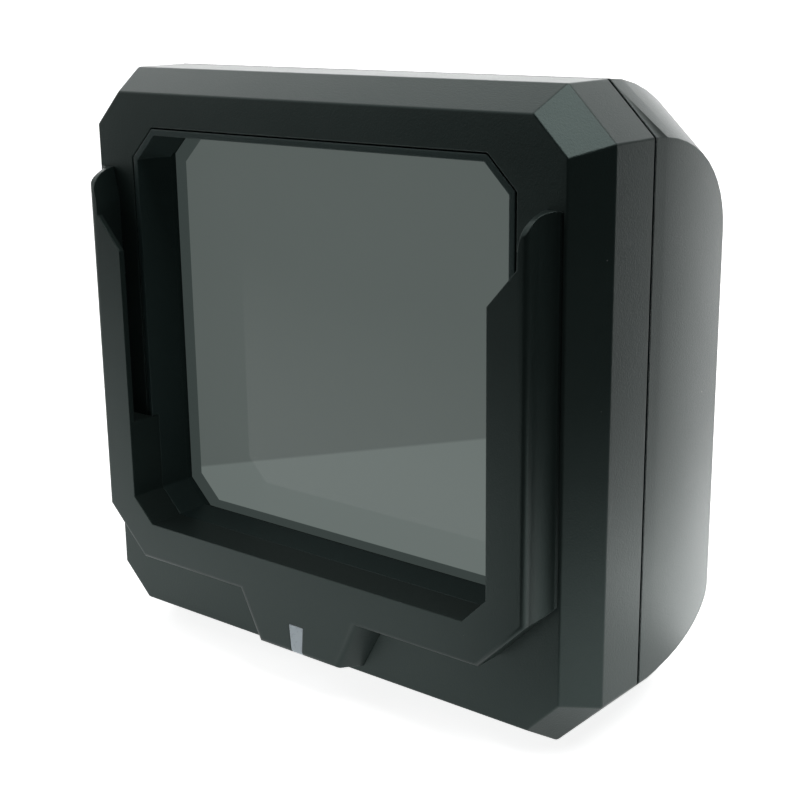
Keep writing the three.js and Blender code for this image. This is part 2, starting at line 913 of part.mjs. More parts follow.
// Optical layout in the (y, z) plane: window to mirror to camera
const mirrorCentre = new THREE.Vector2(face + mirrorDepth, base + opticAxisRise);
const cameraCentre = new THREE.Vector2(face + cameraDepth, base + cameraRise);
const sight = mirrorCentre.clone().sub(cameraCentre).normalize();
const mirrorNormal = new THREE.Vector2(-1, 0).sub(sight).normalize();
const mirrorUp = new THREE.Vector2(mirrorNormal.y, -mirrorNormal.x);
const sightAcross = new THREE.Vector2(sight.y, -sight.x);

// A point in the (y, z) plane, stepped from a start along directions
function stepped(start, ...moves) {
  const point = start.clone();
  for (const [direction, distance] of moves) {
    point.addScaledVector(direction, distance);
  }
  return [point.x, point.y];
}

const chassisFront = antennaBack + clearance;
const chassisTop = windowFrame.high + bezelWall;
const chassisBottom = windowFrame.low - bezelWall;
const mirrorBackSkin = mirrorThickness + clearance;

// The chassis' side profile, with its skin grown by an amount
function chassisProfile(skin) {
  const mirrorEdge = mirrorHeight / 2 + mirrorRim + skin;
  const behind = mirrorBackSkin + skin;
  return [
    [chassisFront - (skin > 0 ? 0 : overrun), chassisBottom - skin + chassisWall],
    [chassisFront - (skin > 0 ? 0 : overrun), chassisTop + skin - chassisWall],
    [chassisFront + chassisTopDepth + skin / 2, chassisTop + skin - chassisWall],
    stepped(mirrorCentre, [mirrorUp, mirrorEdge], [mirrorNormal, -behind]),
    stepped(mirrorCentre, [mirrorUp, -mirrorEdge], [mirrorNormal, -behind]),
    stepped(cameraCentre, [sight, cameraPlateReach - skin], [sightAcross, cameraBoardHeight / 2 + skin]),
    stepped(cameraCentre, [sight, cameraPlateReach - skin], [sightAcross, -holderSide / 2 - skin]),
  ];
}

// A rod along the camera's line of sight
function sightRod(x, across, radius, from, to) {
  const geometry = new THREE.CylinderGeometry(radius, radius, to - from, roundSides);
  const direction = new THREE.Vector3(0, sight.x, sight.y);
  geometry.applyQuaternion(
    new THREE.Quaternion().setFromUnitVectors(new THREE.Vector3(0, 1, 0), direction),
  );
  const [y, z] = stepped(cameraCentre, [sight, (from + to) / 2], [sightAcross, across]);
  geometry.translate(x, y, z);
  return toSolid(geometry);
}

// Optical chassis: light-tight box with the mirror's rear wall and the camera's plate
function buildChassis() {
  const half = chassisWidth / 2;
  const outer = prism("x", chassisProfile(chassisWall), -half, half);
  const inner = prism("x", chassisProfile(0), -half + chassisWall, half - chassisWall);
  const flange = prism(
    "y",
    corners(grow(windowFrame, chassisFlange)),
    chassisFront,
    chassisFront + chassisWall,
  ).subtract(prism("y", corners(windowFrame), face, back));
  const posts = [-1, 1].map((sign) =>
    sightRod(
      sign * (cameraBoardWidth / 2 - postRadius),
      0,
      postRadius * 0.8,
      clearance,
      cameraPlateReach,
    ),
  );
  const aperture = sightRod(0, 0, cameraAperture, 0, cameraPlateReach + overrun);
  const bossRoom = caseScrews.map(({ x, z }) =>
    rod("y", x, z, wellRadius + clearance, face, back + overrun),
  );
  return cut(join([outer.subtract(inner), flange, ...posts]), [aperture, ...bossRoom]);
}

// A group whose local z runs along the camera's line of sight, at the camera board's face
function cameraGroup() {
  const group = new THREE.Group();
  group.position.set(0, cameraCentre.x, cameraCentre.y);
  group.rotation.x = Math.atan2(-sight.x, sight.y);
  reader.add(group);
  return group;
}

function turned(profile, sidesAround = roundSides) {
  const points = profile.map(([r, h]) => new THREE.Vector2(r, h));
  const geometry = new THREE.LatheGeometry(points, sidesAround);
  geometry.rotateX(Math.PI / 2);
  return toSolid(geometry);
}

function addCamera() {
  const group = cameraGroup();
  const holderTop = hairline + holderHeight;
  const barrelTop = holderTop + barrelLength;
  const threadDepth = holderHeight / 2;
  addPiece(
    "camera_board",
    block(
      [-cameraBoardWidth / 2, cameraBoardWidth / 2],
      [-cameraBoardHeight / 2, cameraBoardHeight / 2],
      [-boardThickness, 0],
    ),
    boardGreen,
    group,
  );
  const holderHalf = holderSide / 2;
  const holder = block(
    [-holderHalf, holderHalf],
    [-holderHalf, holderHalf],
    [hairline, holderTop],
  ).subtract(rod("z", 0, 0, barrelRadius + hairline, holderTop - threadDepth, holderTop + overrun));
  addPiece("lens_holder", holder, innerPlastic, group);
  const seatTop = barrelTop - lensHeight;
  const barrel = turned([
    [0, holderTop - threadDepth + hairline],
    [barrelRadius, holderTop - threadDepth + hairline],
    [barrelRadius, barrelTop - barrelEdge],
    [barrelRadius - barrelEdge, barrelTop],
    [lensRadius + 2 * hairline, barrelTop],
    [lensRadius + 2 * hairline, seatTop - hairline],
    [0, seatTop - hairline],
  ]);
  addPiece("lens_barrel", barrel, blackSteel, group);
  const lensDome = quarterTurn(lensSteps).map((angle) => [
    Math.max(0, lensRadius * Math.cos(angle) - 1e-9),
    seatTop + lensRim + (lensHeight - lensRim) * Math.sin(angle),
  ]);
  addPiece("camera_lens", turned([[0, seatTop], [lensRadius, seatTop], ...lensDome]), lensGlass, group);
}

function addMirror() {
  const group = new THREE.Group();
  group.position.set(0, mirrorCentre.x, mirrorCentre.y);
  group.rotation.x = Math.atan2(-mirrorUp.x, mirrorUp.y);
  reader.add(group);
  const pane = block(
    [-mirrorWidth / 2, mirrorWidth / 2],
    [0, mirrorThickness],
    [-mirrorHeight / 2, mirrorHeight / 2],
  );
  addPiece("folding_mirror", pane, silver, group);
}

// A lamp strip and its diffuser, against one inside wall of the chassis
function addLightStrip(side, sign) {
  const outerX = chassisWidth / 2 - chassisWall - hairline;
  const span = (from, to) => [sign * from, sign * to].sort((a, b) => a - b);
  const ys = [chassisFront + clearance, chassisFront + clearance + lightStripDepth];
  const zs = [
    base + opticAxisRise - lightStripHeight / 2,
    base + opticAxisRise + lightStripHeight / 2,
  ];
  const boardInner = outerX - lightStripBoard;
  const board = block(span(boardInner, outerX), ys, zs);
  const middle = (ys[0] + ys[1]) / 2;
  const lamps = Array.from({ length: lampCount }, (unused, i) => {
    const z = zs[0] + (lightStripHeight * (i + 0.5)) / lampCount;
    return block(
      span(boardInner - lampHeight, boardInner + hairline),
      [middle - lampSize / 2, middle + lampSize / 2],
      [z - lampSize / 2, z + lampSize / 2],
    );
  });
  addPiece("light_strip_" + side, join([board, ...lamps]), milky);
  const plateOuter = boardInner - diffuserStand + diffuserThickness;
  const plate = block(span(boardInner - diffuserStand, plateOuter), ys, zs);
  const feetOfPlate = [
    [zs[0], zs[0] + diffuserThickness],
    [zs[1] - diffuserThickness, zs[1]],
  ].map((ends) => block(span(plateOuter - hairline, boardInner - hairline), ys, ends));
  addPiece("light_diffuser_" + side, join([plate, ...feetOfPlate]), milky);
}

// Main board on its posts behind the mirror, with its shield, sounder and card holders
const mainBoardBack = backInside - mainBoardStand;
const mainBoardFront = mainBoardBack - boardThickness;
const mainBoardLow = base + mainBoardRise;
const mainBoardHigh = mainBoardLow + mainBoardHeight;
const doorTop = top - shoulderDrop;
const doorLow = doorTop - doorHeight;
const mainScrews = sides.flatMap(([side, sign]) => [
  {
    name: "main_board_screw_upper_" + side,
    x: sign * (mainBoardWidth / 2 - 2 * postRadius),
    z: mainBoardHigh - 2 * postRadius,
  },
  {
    name: "main_board_screw_lower_" + side,
    x: sign * (mainBoardWidth / 2 - 2 * postRadius),
    z: mainBoardLow + 2 * postRadius,
  },
]);

function addMainBoard() {
  const middle = (mainBoardLow + mainBoardHigh) / 2;
  const board = centredBlock(
    mainBoardWidth,
    [mainBoardFront, mainBoardBack],
    [mainBoardLow, mainBoardHigh],
  );
  const bores = mainScrews.map(({ x, z }) =>
    rod("y", x, z, screwShankRadius + shankPlay, mainBoardFront - overrun, mainBoardBack + overrun),
  );
  addPiece("main_board", cut(board, bores), boardGreen);
  const shieldFront = mainBoardFront - hairline - shieldHeight;
  const shieldBack = mainBoardFront - hairline;
  const can = centredBlock(
    shieldSide,
    [shieldFront, shieldBack],
    [middle - shieldSide / 2, middle + shieldSide / 2],
  ).subtract(
    centredBlock(
      shieldSide - 2 * shieldSkin,
      [shieldFront + shieldSkin, shieldBack + overrun],
      [middle - shieldSide / 2 + shieldSkin, middle + shieldSide / 2 - shieldSkin],
    ),
  );
  addPiece("processor_shield", can, steel);
  const sounderFront = mainBoardFront - hairline - sounderHeight;
  const sounder = rod("y", sounderOffset, middle, sounderRadius, sounderFront, shieldBack).subtract(
    rod("y", sounderOffset, middle, sounderPort, sounderFront - overrun, sounderFront + sounderPort),
  );
  addPiece("sounder", sounder, contactPlastic);
  const cardMiddle = (doorLow + doorTop - 2 * knuckleRadius) / 2;
  sides.forEach(([side, sign]) => {
    const x = (sign * cardHolderPitch) / 2;
    const from = mainBoardBack + hairline;
    const body = block(
      [x - cardHolderWidth / 2, x + cardHolderWidth / 2],
      [from, from + cardHolderThickness],
      [cardMiddle - cardHolderHeight / 2, cardMiddle + cardHolderHeight / 2],
    );
    const throat = block(
      [x - cardHolderWidth / 2 + cardHolderWall, x + cardHolderWidth / 2 - cardHolderWall],
      [from + cardThroatFloor, from + cardThroatFloor + cardThroat],
      [cardMiddle - cardHolderHeight / 2 - overrun, cardMiddle + cardHolderHeight / 2 - cardStop],
    );
    addPiece("card_holder_" + side, body.subtract(throat), contactPlastic);
  });
  mainScrews.forEach(({ name, x, z }) =>
    addScrew(name, x, mainBoardFront - hairline, z, false, boardScrewLength, steel),
  );
}

// Port board with its two sockets, which look out through the niche's floor
const nicheFloor = back - nicheDepth;
const nicheInside = nicheFloor - nicheWall;
const portBoardBack = nicheFloor - socketDepth;
const portBoardFront = portBoardBack - boardThickness;
const nicheLow = base + nicheRise;
const socketZ = nicheLow + nicheHeight / 2;
const portPosts = [-1, 1].map((sign) => ({
  x: sign * (portBoardWidth / 2 - portPostInset),
  z: base + portBoardRise + portBoardHeight / 2,
}));

function stadium(u, v, width, height) {
  const radius = height / 2;
  const straight = width / 2 - radius;
  return Array.from({ length: stadiumSides }, (unused, i) => {
    const angle = ((i + 0.5) / stadiumSides) * 2 * Math.PI - Math.PI / 2;
    const shift = i < stadiumSides / 2 ? straight : -straight;
    return [u + shift + radius * Math.cos(angle), v + radius * Math.sin(angle)];
  });
}

function addPorts() {
  const zs = [base + portBoardRise, base + portBoardRise + portBoardHeight];
  const board = centredBlock(portBoardWidth, [portBoardFront, portBoardBack], zs);
  const bores = portPosts.map(({ x, z }) =>
    rod("y", x, z, screwShankRadius + shankPlay, portBoardFront - overrun, portBoardBack + overrun),
  );
  addPiece("port_board", cut(board, bores), boardGreen);
  portPosts.forEach(({ x, z }, i) =>
    addScrew(
      "port_board_screw_" + sides[i][0],
      x,
      portBoardFront - hairline,
      z,
      false,
      boardScrewLength,
      steel,
    ),
  );
  const mouth = nicheFloor;
  const rear = portBoardBack + hairline;
  const usbShellOuter = prism("y", stadium(-socketOffset, socketZ, usbWidth, usbHeight), rear, mouth);
  const usbRoom = prism(
    "y",
    stadium(-socketOffset, socketZ, usbWidth - 2 * usbShell, usbHeight - 2 * usbShell),
    rear + socketEnd,
    mouth + overrun,
  );
  const tongue = block(
    [-socketOffset - usbTongueWidth / 2, -socketOffset + usbTongueWidth / 2],
    [rear + socketRoot, mouth - socketSetback],
    [socketZ - usbTongue / 2, socketZ + usbTongue / 2],
  );
  addPiece("usb_socket", usbShellOuter.subtract(usbRoom).add(tongue), steel);
  const half = powerSocketSide / 2;
  const housing = block(
    [socketOffset - half, socketOffset + half],
    [rear, mouth],
    [socketZ - half, socketZ + half],
  );
  const bore = rod("y", socketOffset, socketZ, powerBoreRadius, rear + socketEnd, mouth + overrun);
  const pin = rod("y", socketOffset, socketZ, powerPinRadius, rear + socketRoot, mouth - socketSetback);
  addPiece("power_socket", housing.subtract(bore).add(pin), contactPlastic);
}

function addStatusBoard() {
  const middle = stemLow + lightStemHeight / 2;
  const board = centredBlock(
    statusBoardWidth,
    [statusBoardFront, statusBoardFront + boardThickness],
    [middle - statusBoardHeight / 2, middle + statusBoardHeight / 2],
  );
  addPiece("status_board", board, boardGreen);
  const lamp = centredBlock(
    lightStemWidth,
    [statusLampFront, statusBoardFront - hairline],
    [middle - lightStemWidth / 2, middle + lightStemWidth / 2],
  );
  addPiece("status_lamp", lamp, milky);
}

// Hinge of the card door: its axis runs along x, inside the wall near the door's top
const hingeY = back - knuckleRadius;
const hingeZ = doorTop - knuckleRadius;
const hingePinHalf = doorWidth / 2 + doorGap + hingeEarWidth - 1;

function thumbNotch(z) {
  return rod("y", 0, z, thumbNotchRadius, back - thumbNotchDepth, back + overrun);
}

function buildDoor() {
  const half = doorWidth / 2;
  const panel = block(
    [-half, half],
    [back - doorThickness, back],
    [doorLow, hingeZ],
  );
  const barrel = rod("x", hingeY, hingeZ, knuckleRadius, -half, half);
  const bore = rod("x", hingeY, hingeZ, hingePinRadius + hingePinPlay, -half - overrun, half + overrun);
  const ribs = [-1, 1].map((sign) =>
    block(
      [sign * (half - doorRibInset) - doorRibWidth / 2, sign * (half - doorRibInset) + doorRibWidth / 2],
      [back - doorThickness - doorRibHeight, back - doorThickness + hairline],
      [doorLow + 2 * doorStopLap, hingeZ - 2 * knuckleRadius],
    ),
  );
  const thumb = thumbNotch(doorLow + thumbNotchReach - thumbNotchRadius);
  return cut(join([panel, barrel, ...ribs]), [bore, thumb]);
}

function buildDoorPin() {
  return rod("x", hingeY, hingeZ, hingePinRadius, -hingePinHalf, hingePinHalf);
}

// The point and outward normal of the back's shoulder curve at a share of its reach
function shoulderPoint(share) {
  const reach = bodyDepth - partingDepth;
  const bulge = (1 - share ** shoulderPower) ** (1 / shoulderPower);
  const point = new THREE.Vector2(
    parting + reach * share,
    base + bodyHeight - shoulderDrop + shoulderDrop * bulge,
  );
  const normal = new THREE.Vector2(
    share ** (shoulderPower - 1) / reach,
    bulge ** (shoulderPower - 1) / shoulderDrop,
  ).normalize();
  return { point, normal };
}

// Boxes on the shoulder, each turned to lie square to the curve
function shoulderBox(x, width, height, depth, proud) {
  const { point, normal } = shoulderPoint(ventPosition);
  const geometry = new THREE.BoxGeometry(width, height, depth + proud);
  geometry.translate(0, 0, (proud - depth) / 2);
  geometry.rotateX(-Math.atan2(normal.x, normal.y) + Math.PI);
  geometry.rotateX(Math.PI);
  geometry.translate(x, point.x, point.y);
  return toSolid(geometry);
}

// Rear shell: rounded back with screw wells, board posts, niche, card door opening and vents
function buildRearCover() {
  const start = parting + partingGap / 2;
  const skin = rearSolid(0, start).subtract(rearSolid(wall, start - overrun));
  const lip = wall + clearance;
  const ring = (outer, inner, from, to) =>
    prism("y", corners(grow(bodyFrame, -outer)), from, to).subtract(
      prism("y", corners(grow(bodyFrame, -inner)), from - overrun, to + overrun),
    );
  const tongue = join([
    ring(lip, lip + tongueThickness, parting - tongueLength, start + tongueLength),
    ring(wall - clearance, lip + tongueThickness, start, start + tongueLength),
  ]);
  const reachForm = rearSolid(wall / 2, parting + hairline);
  const wells = caseScrews.map(({ x, z }) =>
    rod("y", x, z, wellRadius, parting + hairline, back).intersect(reachForm),
  );
  const mainPosts = mainScrews.map(({ x, z }) =>
    rod("y", x, z, postRadius, mainBoardBack + hairline, back).intersect(reachForm),
  );
  const nicheBox = centredBlock(
    nicheWidth + 2 * nicheWall,
    [nicheInside, back - hairline],
    [nicheLow - nicheWall, nicheLow + nicheHeight + nicheWall],
  );
  const portStands = portPosts.map(({ x, z }) =>
    rod("y", x, z, postRadius, portBoardBack + hairline, backInside + hairline),
  );
  const ears = sides.map(([, sign]) => {
    const xs = [
      sign * (doorWidth / 2 + doorGap),
      sign * (doorWidth / 2 + doorGap + hingeEarWidth),
    ].sort((a, b) => a - b);
    const zs = [hingeZ - hingeEarHeight / 2, hingeZ + hingeEarHeight / 2];
    return block(xs, [hingeY - 2 * knuckleRadius, backInside + hairline], zs);
  });
  const stops = sides.map(([, sign]) => {
    const xs = [
      sign * (doorWidth / 2 - doorStopInset),
      sign * (doorWidth / 2 - doorStopInset - doorStopWidth),
    ].sort((a, b) => a - b);
    return block(
      xs,
      [back - doorThickness - doorStopDepth, backInside + hairline],
      [doorLow - doorGap - doorStopRoot, doorLow + doorStopLap],
    );
  });
  const solid = join([
    skin,
    tongue,
    ...wells,
    ...mainPosts,
    nicheBox,
    ...portStands,
    ...ears,
    ...stops,
  ]);
  const doorHole = centredBlock(
    doorWidth + 2 * doorGap,
    [back - doorThickness - clearance, back + overrun],
    [doorLow - doorGap, doorTop + doorGap],
  );
  const doorThrough = centredBlock(
    doorWidth + 2 * doorGap,
    [backInside - overrun, back + overrun],
    [doorLow + doorStopLap, doorTop + doorGap],
  );
  const thumb = thumbNotch(doorLow - thumbNotchReach + thumbNotchRadius);
  const pinBore = rod("x", hingeY, hingeZ, hingePinRadius + hingePinPlay, -hingePinHalf, hingePinHalf);
  const slack = 2 * hairline;
  const half = powerSocketSide / 2 + slack;
  const ventPitch = (ventSpan - ventSlotWidth) / ventCount;
  return cut(solid, [
    ...caseScrews.map(({ x, z }) =>
      rod("y", x, z, wellRadius - wellWall, parting + wellFloor, back + overrun),
    ),
    ...caseScrews.map(({ x, z }) =>
      rod("y", x, z, screwShankRadius + shankPlay, parting - overrun, back),
    ),
    ...mainScrews.map(({ x, z }) =>
      rod("y", x, z, screwShankRadius + shankPlay, mainBoardBack, backInside),
    ),
    centredBlock(nicheWidth, [nicheFloor, back + overrun], [nicheLow, nicheLow + nicheHeight]),
    prism(
      "y",
      stadium(-socketOffset, socketZ, usbWidth + 2 * slack, usbHeight + 2 * slack),
      nicheInside - overrun,
      back,
    ),
    block(
      [socketOffset - half, socketOffset + half],
      [nicheInside - overrun, back],
      [socketZ - half, socketZ + half],
    ),
    ...portPosts.map(({ x, z }) =>
      rod("y", x, z, screwShankRadius + shankPlay, portBoardBack, backInside),
    ),
    doorHole,
    doorThrough,
    thumb,
    pinBore,
    shoulderBox(0, ventRecessSpan, ventRecessHeight, ventRecessDepth, overrun),
    ...Array.from({ length: ventCount }, (unused, i) =>
      shoulderBox(
        (i - (ventCount - 1) / 2) * ventPitch,
        ventSlotWidth,
        ventSlotHeight,
        2 * wall + overrun,
        overrun,
      ),
    ),
    ...feet
      .filter(({ y }) => y > parting)
      .map(({ x, y }) => rod("z", x, y, footRadius + clearance, base - overrun, base + footRecess)),
  ]);
}

// Rubber feet, two under each shell
const feet = sides.flatMap(([side, sign]) => [
  { name: "foot_front_" + side, x: sign * (bodyWidth / 2 - footMargin), y: face + frontFootDepth },
  { name: "foot_rear_" + side, x: sign * (bodyWidth / 2 - footMargin), y: face + rearFootDepth },
]);

function footSolid() {
  const height = footProud + footRecess;
  return turned([
    [0, 0],
    [footRadius - footEdge, 0],
    [footRadius, footEdge],
    [footRadius, height],
    [0, height],
  ]);
}

addPiece("front_cover", buildFrontCover(), shellPlastic);
addPiece("rear_cover", buildRearCover(), shellPlastic);
addPiece("document_guide", buildGuide(), guidePlastic);
addPiece("status_light_pipe", buildLightPipe(), lightPlastic);
addPiece("window_bezel", buildBezel(), innerPlastic);
addPiece("window_glass", buildGlass(), glassFinish);
addPiece("glass_border", buildGlassBorder(), borderInk);
addPiece("antenna_board", buildAntenna(), boardGreen);
addPiece("optical_chassis", buildChassis(), innerPlastic);
addMirror();
addCamera();
sides.forEach(([side, sign]) => addLightStrip(side, sign));
addMainBoard();
addPorts();
addStatusBoard();
addPiece("card_door", buildDoor(), shellPlastic);
addPiece("card_door_pin", buildDoorPin(), steel);
caseScrews.forEach(({ name, x, z }) =>
  addScrew(name, x, parting + wellFloor + hairline, z, true, caseScrewLength, blackSteel),
);
guideScrews.forEach(({ name, x, z }) =>
  addScrew(name, x, faceInside + hairline, z, true, guideScrewLength, steel),
);
feet.forEach(({ name, x, y }) => {
  const foot = addPiece(name, footSolid(), rubber);
  foot.position.set(x, y, 0);
});

export default reader;
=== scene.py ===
"""Desktop passport reader: moulded shells, document guide, scanning window, optics and boards."""

import math

import bmesh
import bpy
from mathutils import Matrix, Vector


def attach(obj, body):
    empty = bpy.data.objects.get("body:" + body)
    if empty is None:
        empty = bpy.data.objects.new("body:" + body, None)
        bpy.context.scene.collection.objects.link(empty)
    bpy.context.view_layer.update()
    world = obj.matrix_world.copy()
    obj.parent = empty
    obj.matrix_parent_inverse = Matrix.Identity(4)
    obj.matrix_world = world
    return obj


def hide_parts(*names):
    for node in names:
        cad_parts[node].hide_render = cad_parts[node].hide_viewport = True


bl_info = {
    "name": "Passport Reader",
    "version": (1, 0, 0),
    "blender": (4, 5, 0),
    "location": "3D View > Sidebar > Reader",
    "description": "Dresses the packed frame of a desktop passport reader",
    "category": "Object",
}

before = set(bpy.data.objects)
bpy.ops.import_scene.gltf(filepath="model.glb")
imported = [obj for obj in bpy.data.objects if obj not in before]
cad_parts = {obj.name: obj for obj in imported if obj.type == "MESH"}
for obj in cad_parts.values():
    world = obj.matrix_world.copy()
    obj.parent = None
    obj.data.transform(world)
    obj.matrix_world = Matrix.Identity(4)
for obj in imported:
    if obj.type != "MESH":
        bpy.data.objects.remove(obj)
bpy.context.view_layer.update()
# One millimetre, in metres
MM = 0.001
# Straight edge in the glow painted into the window glass, paler below it: height at the middle,
# rise per metre across, blur
GLOW_EDGE_HEIGHT = 0.0566
GLOW_EDGE_RISE = 0.267
GLOW_EDGE_BLUR = 0.0006
# The two bodies
CASE = "reader_body"
DOOR = "card_door"
# What all colour settings share
COLOUR = {"subtype": "COLOR", "size": 3, "min": 0.0, "max": 1.0}


# Settings that a user would change


class ReaderPlastics(bpy.types.PropertyGroup):
    """Colours and finish of the moulded plastics"""

    shell_colour: bpy.props.FloatVectorProperty(
        name="Housing colour",
        description="Colour of the two housing shells and the card door",
        default=(0.0168, 0.0265, 0.0247),
        **COLOUR,
    )
    guide_colour: bpy.props.FloatVectorProperty(
        name="Guide colour",
        description="Colour of the document guide",
        default=(0.0160, 0.0252, 0.0235),
        **COLOUR,
    )
    # Painted light: the bezel's own dark plastic, made paler than the housing to lift the shade
    # in the window's recess and in the inner mouldings
    bezel_painted_light_colour: bpy.props.FloatVectorProperty(
        name="Bezel colour",
        description="Colour of the window's recess walls and of the dark inner mouldings",
        default=(0.0220, 0.0370, 0.0360),
        **COLOUR,
    )
    sheen: bpy.props.FloatVectorProperty(
        name="Sheen",
        description="Tint of what the plastics reflect",
        default=(0.78, 1.0, 0.95),
        **COLOUR,
    )
    roughness: bpy.props.FloatProperty(
        name="Roughness",
        description="How satin the shells are",
        subtype="FACTOR",
        min=0.0,
        max=1.0,
        default=0.33,
    )
    grain_size: bpy.props.FloatProperty(
        name="Grain size",
        description="Width of one bump of the moulded texture",
        unit="LENGTH",
        min=0.0001,
        max=0.005,
        default=0.00045,
        precision=5,
    )
    grain_depth: bpy.props.FloatProperty(
        name="Grain depth",
        description="Height of the moulded texture",
        unit="LENGTH",
        min=0.0,
        max=0.001,
        default=0.00005,
        precision=6,
    )
    edge_radius: bpy.props.FloatProperty(
        name="Edge radius",
        description="Rounding of the moulded edges",
        unit="LENGTH",
        min=0.00005,
        max=0.002,
        default=0.00035,
        precision=5,
    )


class ReaderGlass(bpy.types.PropertyGroup):
    """Window glass, its painted glow, and the status light"""

    glass_colour: bpy.props.FloatVectorProperty(
        name="Glass colour",
        description="Colour of the smoked window glass",
        default=(0.095, 0.112, 0.106),
        **COLOUR,
    )
    border_colour: bpy.props.FloatVectorProperty(
        name="Border colour",
        description="Colour of the border printed on the window glass",
        default=(0.043, 0.055, 0.052),
        **COLOUR,
    )
    # Painted light: how bright the glow painted into the window glass and its border is, paler
    # below a straight edge
    painted_glow: bpy.props.FloatProperty(
        name="Veil",
        description="How bright the dim optics behind the window glass look",
        min=0.0,
        max=2.0,
        default=1.0,
    )
    light_colour: bpy.props.FloatVectorProperty(
        name="Status light colour",
        description="Colour of the light window in the guide's tab",
        default=(0.55, 0.63, 0.68),
        **COLOUR,
    )


class ReaderStage(bpy.types.PropertyGroup):
    """Floor, lamps and camera"""

    floor_colour: bpy.props.FloatVectorProperty(
        name="Floor colour",
        description="Colour of the floor and backdrop",
        default=(0.86, 0.86, 0.86),
        **COLOUR,
    )
    top_power: bpy.props.FloatProperty(
        name="Top power",
        description="Power of the lamp above and behind the reader",
        unit="POWER",
        min=0.0,
        max=1000.0,
        default=0.3,
    )
    side_power: bpy.props.FloatProperty(
        name="Side power",
        description="Power of the lamp high on the right",
        unit="POWER",
        min=0.0,
        max=1000.0,
        default=3.6,
    )
    world_strength: bpy.props.FloatProperty(
        name="World strength",
        description="Strength of the soft light from the left and the back",
        min=0.0,
        max=10.0,
        default=0.85,
    )
    sheet_reach: bpy.props.FloatProperty(
        name="Sheet reach",
        description="How far the pale sheet runs from the middle of the reader, "
        "as it lights the reader",
        unit="LENGTH",
        min=0.05,
        max=5.0,
        default=0.065,
    )
    sheet_glow: bpy.props.FloatProperty(
        name="Sheet glow",
        description="Brightness that the near floor adds as it lights the reader",
        min=0.0,
        max=5.0,
        default=0.38,
    )
    floor_lift: bpy.props.FloatProperty(
        name="Floor lift",
        description="Glow that turns the floor and backdrop white for the eye alone",
        min=0.0,
        max=2.0,
        default=0.86,
    )
    backdrop_glow: bpy.props.FloatProperty(
        name="Backdrop glow",
        description="Brightness of the floor and backdrop behind the reader, as they light it",
        min=0.0,
        max=5.0,
        default=1.9,
    )
    azimuth: bpy.props.FloatProperty(
        name="Camera azimuth",
        description="Where the camera stands, round to the right of the front",
        subtype="ANGLE",
        default=math.radians(39.412),
    )
    elevation: bpy.props.FloatProperty(
        name="Camera elevation",
        description="How far the camera looks down",
        subtype="ANGLE",
        default=math.radians(15.570),
    )
    roll: bpy.props.FloatProperty(
        name="Camera roll",
        description="Tilt of the camera about its line of sight",
        subtype="ANGLE",
        default=math.radians(-0.728),
    )
    camera_place: bpy.props.FloatVectorProperty(
        name="Camera place",
        description="Where the camera stands",
        subtype="TRANSLATION",
        unit="LENGTH",
        size=3,
        default=(0.23694, -0.28396, 0.16955),
    )
    lens: bpy.props.FloatProperty(
        name="Lens",
        description="Focal length in millimetres on a 36 mm sensor",
        min=10.0,
        max=300.0,
        default=67.98,
    )


# Shader node helpers

# Places of a colour mix's factor, two colours and result among its sockets
MIX_FACTOR, MIX_FIRST, MIX_SECOND, MIX_RESULT = 0, 6, 7, 2


def put(tree, value, target):
    """Links a socket to the target, or sets the target to a plain value."""
    if isinstance(value, bpy.types.NodeSocket):
        tree.links.new(value, target)
    else:
        target.default_value = value


def feed(tree, node, **values):
    """Links or sets a node's named inputs, with _ for each space in a name."""
    for name, value in values.items():
        put(tree, value, node.inputs[name.replace("_", " ")])


def maths(tree, operation, *values, clamp=False):
    """A Math node on sockets or numbers; gives its output socket."""
    node = tree.nodes.new("ShaderNodeMath")
    node.operation = operation
    node.use_clamp = clamp
    for socket, value in zip(node.inputs, values):
        put(tree, value, socket)
    return node.outputs[0]


def measure(tree, operation, *vectors):
    """A Vector Math node on sockets or vectors; gives the number it puts out."""
    node = tree.nodes.new("ShaderNodeVectorMath")
    node.operation = operation
    for socket, value in zip(node.inputs, vectors):
        put(tree, value, socket)
    return node.outputs["Value"]


def flipped(tree, share):
    """One less the share."""
    return maths(tree, "SUBTRACT", 1.0, share)


def own_place(tree):
    """Where a point lies on its object."""
    return tree.nodes.new("ShaderNodeTexCoord").outputs["Object"]


def apart(tree, vector):
    """The three coordinates of a vector, as outputs named X, Y and Z."""
    node = tree.nodes.new("ShaderNodeSeparateXYZ")
    feed(tree, node, Vector=vector)
    return node.outputs


def noise(tree, place, scale, detail, roughness=0.5):
    """A noise over a place, from zero to one."""
    node = tree.nodes.new("ShaderNodeTexNoise")
    feed(tree, node, Vector=place, Scale=scale, Detail=detail, Roughness=roughness)
    return node.outputs["Fac"]


def noise_of_size(tree, place, size, detail, roughness=0.5):
    """A noise whose bumps are as wide as the size that a socket gives."""
    return noise(tree, place, maths(tree, "DIVIDE", 1.0, size), detail, roughness)


def soft_step(tree, value, low, high):
    """A soft step of a value from zero at the low end to one at the high end."""
    node = tree.nodes.new("ShaderNodeMapRange")
    node.interpolation_type = "SMOOTHSTEP"
    feed(tree, node, Value=value, From_Min=low, From_Max=high)
    return node.outputs["Result"]


def beyond(tree, place, direction, reach, soft):
    """One past a straight edge that lies that far out in a direction, with a soft step."""
    across = measure(tree, "DOT_PRODUCT", place, direction)
    return soft_step(tree, across, reach - soft / 2, reach + soft / 2)


def seen_by_eye(tree):
    """One for what the camera sees, also through glass."""
    path = tree.nodes.new("ShaderNodeLightPath").outputs
    return maths(tree, "MAXIMUM", path["Is Camera Ray"], path["Is Transmission Ray"])


